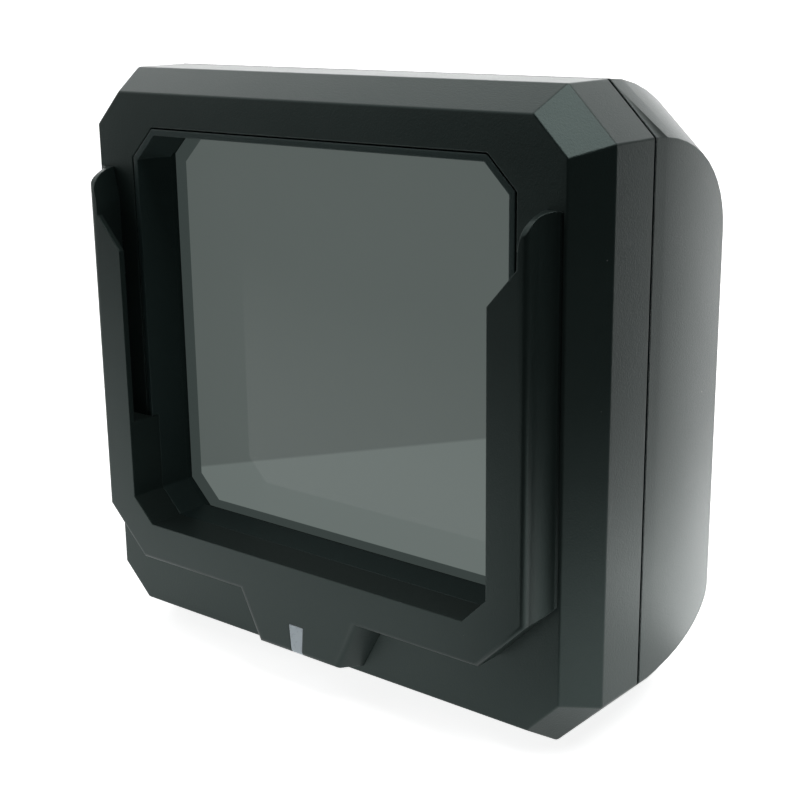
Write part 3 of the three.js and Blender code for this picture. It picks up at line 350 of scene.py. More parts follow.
def mix_colour(tree, factor, first, second):
    """Mixes two colours or colour sockets by a factor socket or number."""
    node = tree.nodes.new("ShaderNodeMix")
    node.data_type = "RGBA"
    put(tree, factor, node.inputs[MIX_FACTOR])
    for place, value in ((MIX_FIRST, first), (MIX_SECOND, second)):
        plain = not isinstance(value, bpy.types.NodeSocket)
        put(tree, (*value, 1.0) if plain else value, node.inputs[place])
    return node.outputs[MIX_RESULT]


def scaled(colour, share, lift=0.0):
    """A colour made darker or paler, with no channel past one."""
    return [min(1.0, channel * share + lift) for channel in colour]


# Effects that materials share

# Share of the fine grain in the grain's tone
FINE_SHARE = 0.6
# How fast the edge mask grows as the rounded normal turns away from the flat one
EDGE_GAIN = 6.0
# How far up a face has to look before dust settles on it
DUST_SLOPE = 0.35
# Largest stray speck, as a share of the spacing
SPECK_SIZE = 0.034


def new_group(name, inputs, outputs):
    """An empty node group with named sockets; gives its tree, input node and output node."""
    tree = bpy.data.node_groups.new(name, "ShaderNodeTree")
    for label, default in inputs.items():
        socket = tree.interface.new_socket(
            name=label, in_out="INPUT", socket_type="NodeSocketFloat"
        )
        socket.default_value = default
    for label, kind in outputs.items():
        tree.interface.new_socket(name=label, in_out="OUTPUT", socket_type=kind)
    return tree, tree.nodes.new("NodeGroupInput"), tree.nodes.new("NodeGroupOutput")


def grain_group():
    """Moulded grain: bumps of one size on a slower unevenness, over the object."""
    tree, given, result = new_group(
        "Moulded grain",
        {"Grain Size": 0.0005, "Blotch Size": 0.02},
        {"Height": "NodeSocketFloat", "Tone": "NodeSocketFloat"},
    )
    place = own_place(tree)
    fine = noise_of_size(tree, place, given.outputs["Grain Size"], detail=3.0, roughness=0.6)
    slow = noise_of_size(tree, place, given.outputs["Blotch Size"], detail=2.0)
    mixed = maths(tree, "MULTIPLY", fine, FINE_SHARE)
    tone = maths(tree, "MULTIPLY_ADD", slow, 1.0 - FINE_SHARE, mixed)
    feed(tree, result, Height=fine, Tone=tone)
    return tree


def edge_group():
    """Rounded edges: a normal that turns over each edge, and a mask that is one along them."""
    tree, given, result = new_group(
        "Soft edges",
        {"Radius": 0.0004},
        {"Normal": "NodeSocketVector", "Edge": "NodeSocketFloat"},
    )
    rounded = tree.nodes.new("ShaderNodeBevel")
    rounded.samples = 6
    feed(tree, rounded, Radius=given.outputs["Radius"])
    normal = rounded.outputs["Normal"]
    flat = tree.nodes.new("ShaderNodeNewGeometry").outputs["Normal"]
    turn = flipped(tree, measure(tree, "DOT_PRODUCT", normal, flat))
    edge = maths(tree, "MULTIPLY", turn, EDGE_GAIN, clamp=True)
    feed(tree, result, Normal=normal, Edge=edge)
    return tree


def dust_group():
    """A thin film of dust on what faces up, broken by noise."""
    tree, given, result = new_group(
        "Settled dust", {"Amount": 0.1, "Speck Size": 0.0015}, {"Mask": "NodeSocketFloat"}
    )
    normal = tree.nodes.new("ShaderNodeNewGeometry").outputs["Normal"]
    up = maths(tree, "SUBTRACT", apart(tree, normal)["Z"], DUST_SLOPE, clamp=True)
    place, size = own_place(tree), given.outputs["Speck Size"]
    specks = noise_of_size(tree, place, size, detail=4.0, roughness=0.7)
    broken = maths(tree, "MULTIPLY", up, specks)
    feed(tree, result, Mask=maths(tree, "MULTIPLY", broken, given.outputs["Amount"]))
    return tree


def speck_group():
    """Stray specks: small pale grains, few and far between, of uneven size."""
    tree, given, result = new_group(
        "Stray specks", {"Spacing": 0.005, "Share": 0.3}, {"Mask": "NodeSocketFloat"}
    )
    cells = tree.nodes.new("ShaderNodeTexVoronoi")
    scale = maths(tree, "DIVIDE", 1.0, given.outputs["Spacing"])
    feed(tree, cells, Vector=own_place(tree), Scale=scale)
    split = tree.nodes.new("ShaderNodeSeparateColor")
    feed(tree, split, Color=cells.outputs["Color"])
    chosen = maths(tree, "LESS_THAN", split.outputs["Red"], given.outputs["Share"])
    size = maths(tree, "MULTIPLY", split.outputs["Green"], SPECK_SIZE)
    near = maths(tree, "LESS_THAN", cells.outputs["Distance"], size)
    feed(tree, result, Mask=maths(tree, "MULTIPLY", near, chosen))
    return tree


EFFECTS = {
    "Moulded grain": grain_group,
    "Soft edges": edge_group,
    "Settled dust": dust_group,
    "Stray specks": speck_group,
}


def effect(tree, name, **values):
    """Places a shared effect in a material, with its own values; gives the effect's outputs."""
    node = tree.nodes.new("ShaderNodeGroup")
    node.node_tree = bpy.data.node_groups.get(name) or EFFECTS[name]()
    feed(tree, node, **values)
    return node.outputs


def grain(tree, size, blotch=0.02):
    """The moulded grain's height and tone."""
    outputs = effect(tree, "Moulded grain", Grain_Size=size, Blotch_Size=blotch)
    return outputs["Height"], outputs["Tone"]


def soft_edges(tree, radius):
    """The rounded edges' normal and mask."""
    outputs = effect(tree, "Soft edges", Radius=radius)
    return outputs["Normal"], outputs["Edge"]


# Materials

FILM_COLOUR = (0.30, 0.30, 0.29)
SPECK_COLOUR = (0.34, 0.34, 0.32)
# Colours between which the board's mask, the rubber and the mirror's silver waver
MASK_COLOURS = ((0.008, 0.085, 0.034), (0.012, 0.13, 0.052))
RUBBER_COLOURS = ((0.006, 0.006, 0.006), (0.018, 0.018, 0.017))
SILVER_COLOURS = ((0.80, 0.82, 0.83), (0.88, 0.89, 0.90))
TRACK_COLOUR = (0.03, 0.22, 0.09)
BLACK = (0.0, 0.0, 0.0)
# How dark and how pale the grain turns a plastic, and how pale an edge gets, partly wear and
# partly a painted highlight
TONE_LOW, TONE_HIGH = 0.86, 1.16
EDGE_WEAR_HIGHLIGHT_GAIN, EDGE_WEAR_HIGHLIGHT_LIFT = 2.2, 0.006
# How far the plastics' roughness swings either way with the grain, and drops along an edge
ROUGH_SWING = 0.08
EDGE_POLISH = 0.08
GLASS_IOR = 1.5
# Specular level of the coated window glass and of the ink on it
COATED_GLOSS = 0.12
# Share of the glow painted into the window glass that the camera alone sees
PAINTED_GLOW_TO_EYE = 0.7


def new_material(name):
    """A material with its tree and its Principled shader."""
    material = bpy.data.materials.new(name)
    material.use_nodes = True
    tree = material.node_tree
    return material, tree, tree.nodes["Principled BSDF"]


def bump_from(tree, shader, height, distance, normal=None):
    """Feeds the shader's normal through a Bump node of that height."""
    bump = tree.nodes.new("ShaderNodeBump")
    feed(tree, bump, Distance=distance, Strength=1.0, Height=height)
    if normal is not None:
        feed(tree, bump, Normal=normal)
    feed(tree, shader, Normal=bump.outputs["Normal"])


def moulded_plastic(name, colour, roughness, wear_and_highlight=0.25, dust=0.06, coarse=1.0):
    """Satin moulded plastic with grain, slightly polished edges that are paler as wear and as a
    painted highlight, and a trace of dust.
    """
    plastics = bpy.context.scene.reader_plastics
    material, tree, shader = new_material(name)
    height, tone = grain(tree, plastics.grain_size * coarse)
    normal, edge = soft_edges(tree, plastics.edge_radius)
    shown = mix_colour(tree, tone, scaled(colour, TONE_LOW), scaled(colour, TONE_HIGH))
    # Edges turn paler: partly wear, partly a painted highlight
    worn_lit_edge = maths(tree, "MULTIPLY", edge, wear_and_highlight)
    shown = mix_colour(tree, worn_lit_edge, shown, scaled(colour, EDGE_WEAR_HIGHLIGHT_GAIN, EDGE_WEAR_HIGHLIGHT_LIFT))
    if dust:
        film = effect(tree, "Settled dust", Amount=dust)
        shown = mix_colour(tree, film["Mask"], shown, FILM_COLOUR)
        stray = effect(tree, "Stray specks")
        shown = mix_colour(tree, stray["Mask"], shown, SPECK_COLOUR)
    rough = maths(tree, "MULTIPLY_ADD", tone, 2 * ROUGH_SWING, roughness - ROUGH_SWING)
    polished = maths(tree, "MULTIPLY", edge, -EDGE_POLISH)
    feed(
        tree,
        shader,
        Base_Color=shown,
        Specular_Tint=(*plastics.sheen, 1.0),
        Roughness=maths(tree, "ADD", rough, polished),
    )
    bump_from(tree, shader, height, plastics.grain_depth, normal)
    return material


def smears(tree, place):
    """Faint smears on glass."""
    return noise(tree, place, scale=45.0, detail=5.0, roughness=0.6)


def clear_glass(name, colour):
    """Polished glass with faint smears."""
    material, tree, shader = new_material(name)
    smear = smears(tree, own_place(tree))
    feed(
        tree,
        shader,
        Transmission_Weight=1.0,
        IOR=GLASS_IOR,
        Base_Color=mix_colour(tree, smear, scaled(colour, 0.97), colour),
        Roughness=maths(tree, "MULTIPLY", smear, 0.03),
    )
    return material


def smoked_glass(name, colour, painted_glow):
    """Smoked, coated window glass with a painted glow: it shines by itself, paler below a
    straight edge.
    """
    material, tree, shader = new_material(name)
    place = own_place(tree)
    smear = smears(tree, place)
    spot = apart(tree, place)
    # Painted light: below this straight edge the glass glows paler
    edge = maths(tree, "MULTIPLY_ADD", spot["X"], GLOW_EDGE_RISE, GLOW_EDGE_HEIGHT)
    below = maths(tree, "SUBTRACT", edge, spot["Z"])
    share = maths(tree, "MULTIPLY_ADD", below, 1.0 / GLOW_EDGE_BLUR, 0.5, clamp=True)
    tint = mix_colour(tree, smear, scaled(colour, 0.97), colour)
    seen = tree.nodes.new("ShaderNodeLightPath").outputs["Is Camera Ray"]
    to_eye, to_all = PAINTED_GLOW_TO_EYE * painted_glow, (1.0 - PAINTED_GLOW_TO_EYE) * painted_glow
    feed(
        tree,
        shader,
        Transmission_Weight=0.1,
        IOR=GLASS_IOR,
        Specular_IOR_Level=COATED_GLOSS,
        Base_Color=mix_colour(tree, smear, scaled(colour, 0.28), scaled(colour, 0.32)),
        Roughness=maths(tree, "MULTIPLY", smear, 0.06),
        # Painted glow: the glass shines by itself, more for the camera than for other rays
        Emission_Color=mix_colour(tree, share, tint, scaled(colour, 1.42)),
        Emission_Strength=maths(tree, "MULTIPLY_ADD", seen, to_eye, to_all),
    )
    return material


def border_ink(name, colour, painted_glow):
    """Dark ink printed on the window glass, given the same painted glow as the glass."""
    material, tree, shader = new_material(name)
    _, tone = grain(tree, 0.001)
    ink = mix_colour(tree, tone, scaled(colour, 0.9), colour)
    feed(
        tree,
        shader,
        Base_Color=mix_colour(tree, 0.7, ink, BLACK),
        Specular_IOR_Level=COATED_GLOSS,
        Roughness=maths(tree, "MULTIPLY", tone, 0.2),
        # Painted light: the ink glows, lifting it out of the shade of the recess
        Emission_Color=ink,
        Emission_Strength=painted_glow,
    )
    return material


def bare_metal(name, colour, roughness):
    """Plated metal with fine uneven polish."""
    material, tree, shader = new_material(name)
    height, tone = grain(tree, 0.0004)
    normal, edge = soft_edges(tree, 0.00012)
    plain = mix_colour(tree, tone, scaled(colour, 0.85), colour)
    feed(
        tree,
        shader,
        Metallic=1.0,
        Base_Color=mix_colour(tree, edge, plain, scaled(colour, 1.3)),
        Roughness=maths(tree, "MULTIPLY_ADD", tone, 0.08, roughness),
    )
    bump_from(tree, shader, height, 0.000008, normal)
    return material


def circuit_board(name):
    """Green solder mask over faint tracks."""
    material, tree, shader = new_material(name)
    turn = tree.nodes.new("ShaderNodeMapping")
    feed(tree, turn, Vector=own_place(tree), Rotation=(math.radians(90), 0, 0))
    brick = tree.nodes.new("ShaderNodeTexBrick")
    feed(tree, brick, Vector=turn.outputs["Vector"], Scale=260.0, Mortar_Size=0.06)
    feed(tree, brick, Brick_Width=1.7, Row_Height=0.35)
    tracks = brick.outputs["Fac"]
    _, tone = grain(tree, 0.003)
    mask = mix_colour(tree, tone, *MASK_COLOURS)
    feed(
        tree,
        shader,
        Base_Color=mix_colour(tree, tracks, mask, TRACK_COLOUR),
        Roughness=maths(tree, "MULTIPLY_ADD", tracks, -0.1, 0.38),
    )
    bump_from(tree, shader, tracks, 0.00003)
    return material


def milky_plastic(name, colour, roughness=0.35):
    """Pale plastic that light soaks into."""
    material, tree, shader = new_material(name)
    height, tone = grain(tree, 0.0009, 0.006)
    normal, _ = soft_edges(tree, 0.0003)
    feed(
        tree,
        shader,
        Base_Color=mix_colour(tree, tone, scaled(colour, 0.92), colour),
        Roughness=maths(tree, "MULTIPLY_ADD", tone, 0.12, roughness),
        Subsurface_Weight=0.25,
        Subsurface_Radius=(0.002, 0.002, 0.002),
    )
    bump_from(tree, shader, height, 0.00001, normal)
    return material


def rubber(name):
    """Dull black rubber."""
    material, tree, shader = new_material(name)
    height, tone = grain(tree, 0.0007)
    black = mix_colour(tree, tone, *RUBBER_COLOURS)
    feed(tree, shader, Base_Color=black, Roughness=0.85)
    bump_from(tree, shader, height, 0.00006)
    return material


def silvered_mirror(name):
    """Front-silvered mirror with a breath of haze."""
    material, tree, shader = new_material(name)
    _, tone = grain(tree, 0.01, 0.05)
    silver = mix_colour(tree, tone, *SILVER_COLOURS)
    haze = maths(tree, "MULTIPLY", tone, 0.05)
    feed(tree, shader, Metallic=1.0, Base_Color=silver, Roughness=haze)
    return material


def make_materials():
    """Every finish of the reader, by name."""
    plastics = bpy.context.scene.reader_plastics
    glass = bpy.context.scene.reader_glass
    rough = plastics.roughness
    # Painted light: the recess and the inner mouldings take a colour paler than the housing,
    # lifting their shade
    inner = plastics.bezel_painted_light_colour
    return {
        "shell": moulded_plastic("Housing plastic", plastics.shell_colour, rough),
        "guide": moulded_plastic("Guide plastic", plastics.guide_colour, rough - 0.02, wear_and_highlight=0.08),
        "bezel": moulded_plastic("Bezel plastic", inner, rough, wear_and_highlight=0.0, dust=0.0),
        "chassis": moulded_plastic("Chassis plastic", inner, 0.75, 0.1, dust=0.0, coarse=2.0),
        "glass": smoked_glass("Window glass", glass.glass_colour, glass.painted_glow),
        "lens": clear_glass("Lens glass", (0.55, 0.62, 0.85)),
        "border": border_ink("Border ink", glass.border_colour, glass.painted_glow),
        "light": milky_plastic("Status light", glass.light_colour, roughness=0.22),
        "milky": milky_plastic("Milky plastic", (0.82, 0.84, 0.83)),
        "contact": moulded_plastic("Contact plastic", (0.012, 0.012, 0.013), 0.5, dust=0.0),
        "rubber": rubber("Foot rubber"),
        "steel": bare_metal("Plated steel", (0.55, 0.56, 0.57), 0.28),
        "black_steel": bare_metal("Black oxide steel", (0.045, 0.045, 0.05), 0.4),
        "gold": bare_metal("Gold contact", (0.85, 0.62, 0.25), 0.25),
        "phosphor": milky_plastic("Lamp phosphor", (0.85, 0.66, 0.18), roughness=0.5),
        "board": circuit_board("Circuit board"),
        "mirror": silvered_mirror("Silvered glass"),
    }


FINISHES = {}


def finish(name):
    """The finish of that name."""
    if not FINISHES:
        FINISHES.update(make_materials())
    return FINISHES[name]


def dress(obj, name):
    """Gives an object one finish."""
    obj.data.materials.clear()
    obj.data.materials.append(finish(name))


NODE_FINISHES = {
    "front_cover": "shell",
    "rear_cover": "shell",
    "card_door": "shell",
    "document_guide": "guide",
    "status_light_pipe": "light",
    "window_bezel": "bezel",
    "window_glass": "glass",
    "glass_border": "border",
    "optical_chassis": "chassis",
    "folding_mirror": "mirror",
    "lens_holder": "chassis",
    "lens_barrel": "black_steel",
    "camera_lens": "lens",
    "processor_shield": "steel",
    "usb_socket": "steel",
    "power_socket": "contact",
    "sounder": "contact",
    "card_door_pin": "steel",
    "status_lamp": "milky",
}
FAMILY_FINISHES = (
    ("case_screw", "black_steel"),
    ("foot_", "rubber"),
    ("light_", "milky"),
    ("card_holder", "contact"),
)


def node_finish(name):
    """Which finish a carried-over node takes."""
    if name in NODE_FINISHES:
        return NODE_FINISHES[name]
    for start, chosen in FAMILY_FINISHES:
        if name.startswith(start):
            return chosen
    return "steel" if "screw" in name else "board"


# Mesh helpers

# Corners closer than this are one corner, in metres
WELD = 2e-6
# Faces that turn by less than the first are merged, edges that turn by more than the second are
# rounded, and made edges that turn by more than the third stay sharp
FLAT_ANGLE = math.radians(0.4)
CLEAR_ANGLE = math.radians(24)
SHARP_ANGLE = math.radians(32)
# An edge stays as it is where it meets one shorter than the first many radii, or bounds a face
# narrower than the second many
SHORT_EDGE = 2.4
NARROW_FACE = 1.1
# Weight at which a face's area alone leads the shading
AREA_WEIGHT = 50
# Roundings of the smaller pieces, in metres
FULL_EDGE = 0.0003
SMALL_EDGE = 0.0002
THIN_EDGE = 0.00015
FINE_EDGE = 0.0001
FINEST_EDGE = 0.00008


def around(middle, half):
    """The span with that middle and half width."""
    return (middle - half, middle + half)


def mesh_object(name, shape, body=CASE, chosen="shell", replaced=()):
    """Turns a bmesh into a piece that rides on a body, with its finish and smooth shading."""
    bmesh.ops.recalc_face_normals(shape, faces=shape.faces)
    mesh = bpy.data.meshes.new(name)
    shape.to_mesh(mesh)
    shape.free()
    obj = bpy.data.objects.new(name, mesh)
    bpy.context.collection.objects.link(obj)
    smooth_by_angle(mesh)
    dress(obj, chosen)
    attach(obj, body)
    if replaced:
        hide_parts(*replaced)
    return obj


def smooth_by_angle(mesh):
    """Smooth faces, with the clear edges kept sharp."""
    shape = bmesh.new()
    shape.from_mesh(mesh)
    for face in shape.faces:
        face.smooth = True
    for edge in shape.edges:
        edge.smooth = len(edge.link_faces) == 2 and edge.calc_face_angle(0.0) < SHARP_ANGLE
    shape.to_mesh(mesh)
    shape.free()


def even_normals(obj):
    """Lets the large faces lead the shading, so that roundings stay narrow."""
    modifier = obj.modifiers.new("even normals", "WEIGHTED_NORMAL")
    modifier.keep_sharp = True
    modifier.weight = AREA_WEIGHT


def round_edges(shape, edges, radius, clamp=False):
    """Rounds edges of a bmesh by a radius in metres."""
    bmesh.ops.bevel(
        shape,
        geom=edges,
        offset=radius,
        offset_type="OFFSET",
        segments=2,
        profile=0.5,
        clamp_overlap=clamp,
        affect="EDGES",
    )


def thin_face(face, width):
    """True for a face too narrow to carry a rounding of that width on both sides."""
    outline = sum(edge.calc_length() for edge in face.edges)
    return 2.0 * face.calc_area() / outline < width


def node_form(name):
    """A bmesh with the form of a node of the frame."""
    shape = bmesh.new()
    shape.from_mesh(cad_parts[name].data)
    return shape


def softened(name, node, radius, chosen, body=CASE):
    """A moulding cut from a node's form: flat faces merged and its clear edges rounded."""
    shape = node_form(node)
    bmesh.ops.remove_doubles(shape, verts=shape.verts, dist=WELD)
    bmesh.ops.dissolve_limit(shape, angle_limit=FLAT_ANGLE, verts=shape.verts, edges=shape.edges)
    bmesh.ops.connect_verts_concave(shape, faces=shape.faces)
    tight = {
        vert
        for edge in shape.edges
        if edge.calc_length() < SHORT_EDGE * radius
        for vert in edge.verts
    }
    corners = [
        edge
        for edge in shape.edges
        if len(edge.link_faces) == 2
        and edge.calc_face_angle(0.0) > CLEAR_ANGLE
        and not tight.intersection(edge.verts)
        and not any(thin_face(face, NARROW_FACE * radius) for face in edge.link_faces)
    ]
    round_edges(shape, corners, radius, clamp=True)
    even_normals(mesh_object(name, shape, body, chosen, (node,)))


def node_box(name):
    """Low and high corner of a node of the frame."""
    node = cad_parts[name]
    places = [node.matrix_world @ vert.co for vert in node.data.vertices]
    low = Vector([min(place[axis] for place in places) for axis in range(3)])
    high = Vector([max(place[axis] for place in places) for axis in range(3)])
    return low, high


def block(shape, xs, ys, zs, radius=0.0):
    """Adds a block with rounded edges; its spans and its radius are in millimetres."""
    verts = bmesh.ops.create_cube(shape, size=1.0)["verts"]
    spans = (xs, ys, zs)
    for vert in verts:
        vert.co = [
            ((low + high) / 2 + share * (high - low)) * MM
            for share, (low, high) in zip(vert.co, spans)
        ]
    if radius:
        edges = list({edge for vert in verts for edge in vert.link_edges})
        round_edges(shape, edges, radius * MM)


def turned(shape, start, way, profile, steps=48, ring=False):
    """Adds a turned solid: (distance, radius) pairs from a start along a way, in millimetres."""
    way = Vector(way)
    side = way.orthogonal().normalized()
    other = way.cross(side)
    angles = [2.0 * math.pi * i / steps for i in range(steps)]
    rows = []
    for distance, radius in profile:
        middle = Vector(start) + way * distance
        if radius == 0.0:
            rows.append([shape.verts.new(middle * MM)])
            continue
        spokes = [(side * math.cos(a) + other * math.sin(a)) * radius for a in angles]
        rows.append([shape.verts.new((middle + spoke) * MM) for spoke in spokes])
    pairs = list(zip(rows, rows[1:])) + ([(rows[-1], rows[0])] if ring else [])
    for first, second in pairs:
        for i in range(steps):
            j = (i + 1) % steps
            corners = [first[i % len(first)], first[j % len(first)]]
            corners += [second[j % len(second)], second[i % len(second)]]
            shape.faces.new(list(dict.fromkeys(corners)))


# Operators, one for each piece or group of like pieces

# Made pieces are given in millimetres; a softened piece takes its rounding in metres

# Profiles of turned parts: distance along the axis and radius, in millimetres
POWER_PIN = ((0.0, 0.0), (0.0, 1.03), (6.5, 1.03), (6.9, 0.75), (7.03, 0.0))
POWER_SLEEVE = ((0.6, 2.92), (6.8, 2.92), (7.0, 3.0), (7.0, 3.08), (0.6, 3.08))
CAPACITOR = (
    (0.0, 0.0), (0.0, 2.3), (0.5, 2.3), (0.7, 2.1), (1.0, 2.1),
    (1.2, 2.4), (3.6, 2.4), (3.8, 2.2), (3.8, 0.0),
)
# A foot's groove: rise in millimetres, and share of the foot's radius
FOOT_GROOVE = ((0.0, 0.66), (0.22, 0.62), (0.22, 0.52), (0.0, 0.48), (0.0, 0.0))
# Chips on the main board: place across and up, width and height, and the pitch of their leads
CHIPS = ((-26, 110, 14, 10), (-26, 93, 9, 12), (24, 112, 8, 7), (-43, 102, 7, 7))
LEAD_PITCH = 1.1
# Capacitors and rows of small parts on the main board
CAPACITOR_PLACES = (16, 22, 28)
CAPACITOR_HEIGHT = 90.0
SMALL_PART_ROWS = (90.2, 108.4, 110.2)
SMALL_PART_PITCH = 2.3
CONTACT_PITCH = 0.5
CARD_CONTACT_PITCH = 2.54
# The antenna's bands from the board's rim inwards: width, and whether it is a track
ANTENNA_BANDS = (
    (0.9, False), (0.5, True), (0.5, False),
    (0.5, True), (0.5, False), (0.5, True),
)
# A face of the board whose normal's y is above this doesn't look to the front
FRONT_FACING = -0.9
# How far the antenna's tracks stand off the board
TRACK_HEIGHT = 0.03
LAMPS_PER_STRIP = 6
# Pitch of the ribs on the card door's grip
RIB_PITCH = 1.5
# Gap between the glass and the print on it, and the print's depth, in metres
PRINT_GAP, PRINT_DEPTH = 0.00001, 0.00005


class READER_OT_dress_nodes(bpy.types.Operator):
    """Give every node of the frame its finish"""

    bl_idname = "reader.dress_nodes"
    bl_label = "Dress the frame"

    def execute(self, context):
        for name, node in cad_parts.items():
            dress(node, node_finish(name))
            node.data.shade_smooth()
        return {"FINISHED"}


class READER_OT_shells(bpy.types.Operator):
    """Round the edges of the two housing shells"""

    bl_idname = "reader.shells"
    bl_label = "Housing shells"

    def execute(self, context):
        radius = context.scene.reader_plastics.edge_radius
        softened("front_housing", "front_cover", radius, "shell")
        softened("rear_housing", "rear_cover", radius, "shell")
        return {"FINISHED"}


class READER_OT_guide(bpy.types.Operator):
    """Round the edges of the document guide and its light window"""

    bl_idname = "reader.guide"
    bl_label = "Document guide"

    def execute(self, context):
        radius = context.scene.reader_plastics.edge_radius
        softened("page_guide", "document_guide", radius, "guide")
        softened("light_window", "status_light_pipe", radius / 4, "light")
        return {"FINISHED"}


class READER_OT_bezel(bpy.types.Operator):
    """Round the edges of the window's recess"""

    bl_idname = "reader.bezel"
    bl_label = "Window bezel"

    def execute(self, context):
        radius = context.scene.reader_plastics.edge_radius
        softened("recess_wall", "window_bezel", radius / 2, "bezel")
        return {"FINISHED"}


class READER_OT_border(bpy.types.Operator):
    """Print the dark border on the window glass"""

    bl_idname = "reader.border"
    bl_label = "Printed border"

    def execute(self, context):
        shape = node_form("glass_border")
        low, high = node_box("glass_border")
        face = node_box("window_glass")[0].y
        for vert in shape.verts:
            depth = (high.y - vert.co.y) / (high.y - low.y)
            vert.co.y = face - PRINT_GAP - PRINT_DEPTH * depth
        mesh_object("printed_border", shape, chosen="border", replaced=("glass_border",))
        return {"FINISHED"}


class READER_OT_door(bpy.types.Operator):
    """Make the card door with its grip, and its hinge pin"""

    bl_idname = "reader.door"
    bl_label = "Card door"

    def execute(self, context):
        softened("door_panel", "card_door", SMALL_EDGE, "shell", DOOR)
        softened("hinge_pin", "card_door_pin", FINE_EDGE, "steel")
        low, high = node_box("card_door")
        edge, outside = low.z / MM, high.y / MM
        ys = (outside - 0.85, outside - 0.35)
        grip = bmesh.new()
        for i in range(-2, 3):
            rise = 2.1 - 0.3 * abs(i)
            block(grip, around(RIB_PITCH * i, 0.25), ys, (edge + 0.5, edge + rise), 0.1)
        mesh_object("door_grip", grip, DOOR)
        return {"FINISHED"}


class READER_OT_feet(bpy.types.Operator):
    """Make the four rubber feet, each with a rounded rim and a grip groove"""

    bl_idname = "reader.feet"
    bl_label = "Rubber feet"

    def execute(self, context):
        for end in ("front", "rear"):
            for side in ("left", "right"):
                self.add_foot(end + "_" + side)
        return {"FINISHED"}

    def add_foot(self, place):
        """One foot in place of its node."""
        node = "foot_" + place
        low, high = node_box(node)
        middle = (low + high) / 2 / MM
        radius = (high.x - low.x) / 2 / MM
        height = (high.z - low.z) / MM
        profile = [(height, 0.0), (height, radius - 0.2), (height - 0.15, radius)]
        profile += [(0.4, radius), (0.12, radius - 0.12), (0.0, radius - 0.35)]
        profile += [(rise, share * radius) for rise, share in FOOT_GROOVE]
        shape = bmesh.new()
        turned(shape, (middle.x, middle.y, low.z / MM), (0, 0, 1), profile, 64)
        mesh_object("pad_" + place, shape, chosen="rubber", replaced=(node,))


class READER_OT_screws(bpy.types.Operator):
    """Soften every screw's head and cross"""

    bl_idname = "reader.screws"
    bl_label = "Screws"

    def execute(self, context):
        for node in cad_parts:
            if "screw" in node:
                softened("turned_" + node, node, FINE_EDGE, node_finish(node))
        return {"FINISHED"}


class READER_OT_sockets(bpy.types.Operator):
    """Make the two sockets in the niche, with their contacts"""

    bl_idname = "reader.sockets"
    bl_label = "Sockets"

    def execute(self, context):
        softened("usb_jacket", "usb_socket", FINEST_EDGE, "steel")
        x, mouth, z = self.mouth("usb_socket")
        tongue = bmesh.new()
        block(tongue, around(x, 3.3), (mouth - 7.0, mouth - 0.86), around(z, 0.38), 0.12)
        mesh_object("usb_tongue", tongue, chosen="contact")
        contacts = bmesh.new()
        ys = (mouth - 5.6, mouth - 1.3)
        for side in (-1, 1):
            for i in range(12):
                heights = sorted((z + side * 0.36, z + side * 0.4))
                block(contacts, around(x + (i - 5.5) * CONTACT_PITCH, 0.14), ys, heights)
        mesh_object("usb_contacts", contacts, chosen="gold")
        softened("power_housing", "power_socket", SMALL_EDGE, "contact")
        x, mouth, z = self.mouth("power_socket")
        start = (x, mouth - 7.9, z)
        pin, sleeve = bmesh.new(), bmesh.new()
        turned(pin, start, (0, 1, 0), POWER_PIN, 32)
        mesh_object("power_pin", pin, chosen="gold")
        turned(sleeve, start, (0, 1, 0), POWER_SLEEVE, ring=True)
        mesh_object("power_sleeve", sleeve, chosen="steel")
        return {"FINISHED"}

    def mouth(self, node):
        """The middle of a socket's mouth, in millimetres."""
        low, high = node_box(node)
        return (low.x + high.x) / 2 / MM, high.y / MM, (low.z + high.z) / 2 / MM


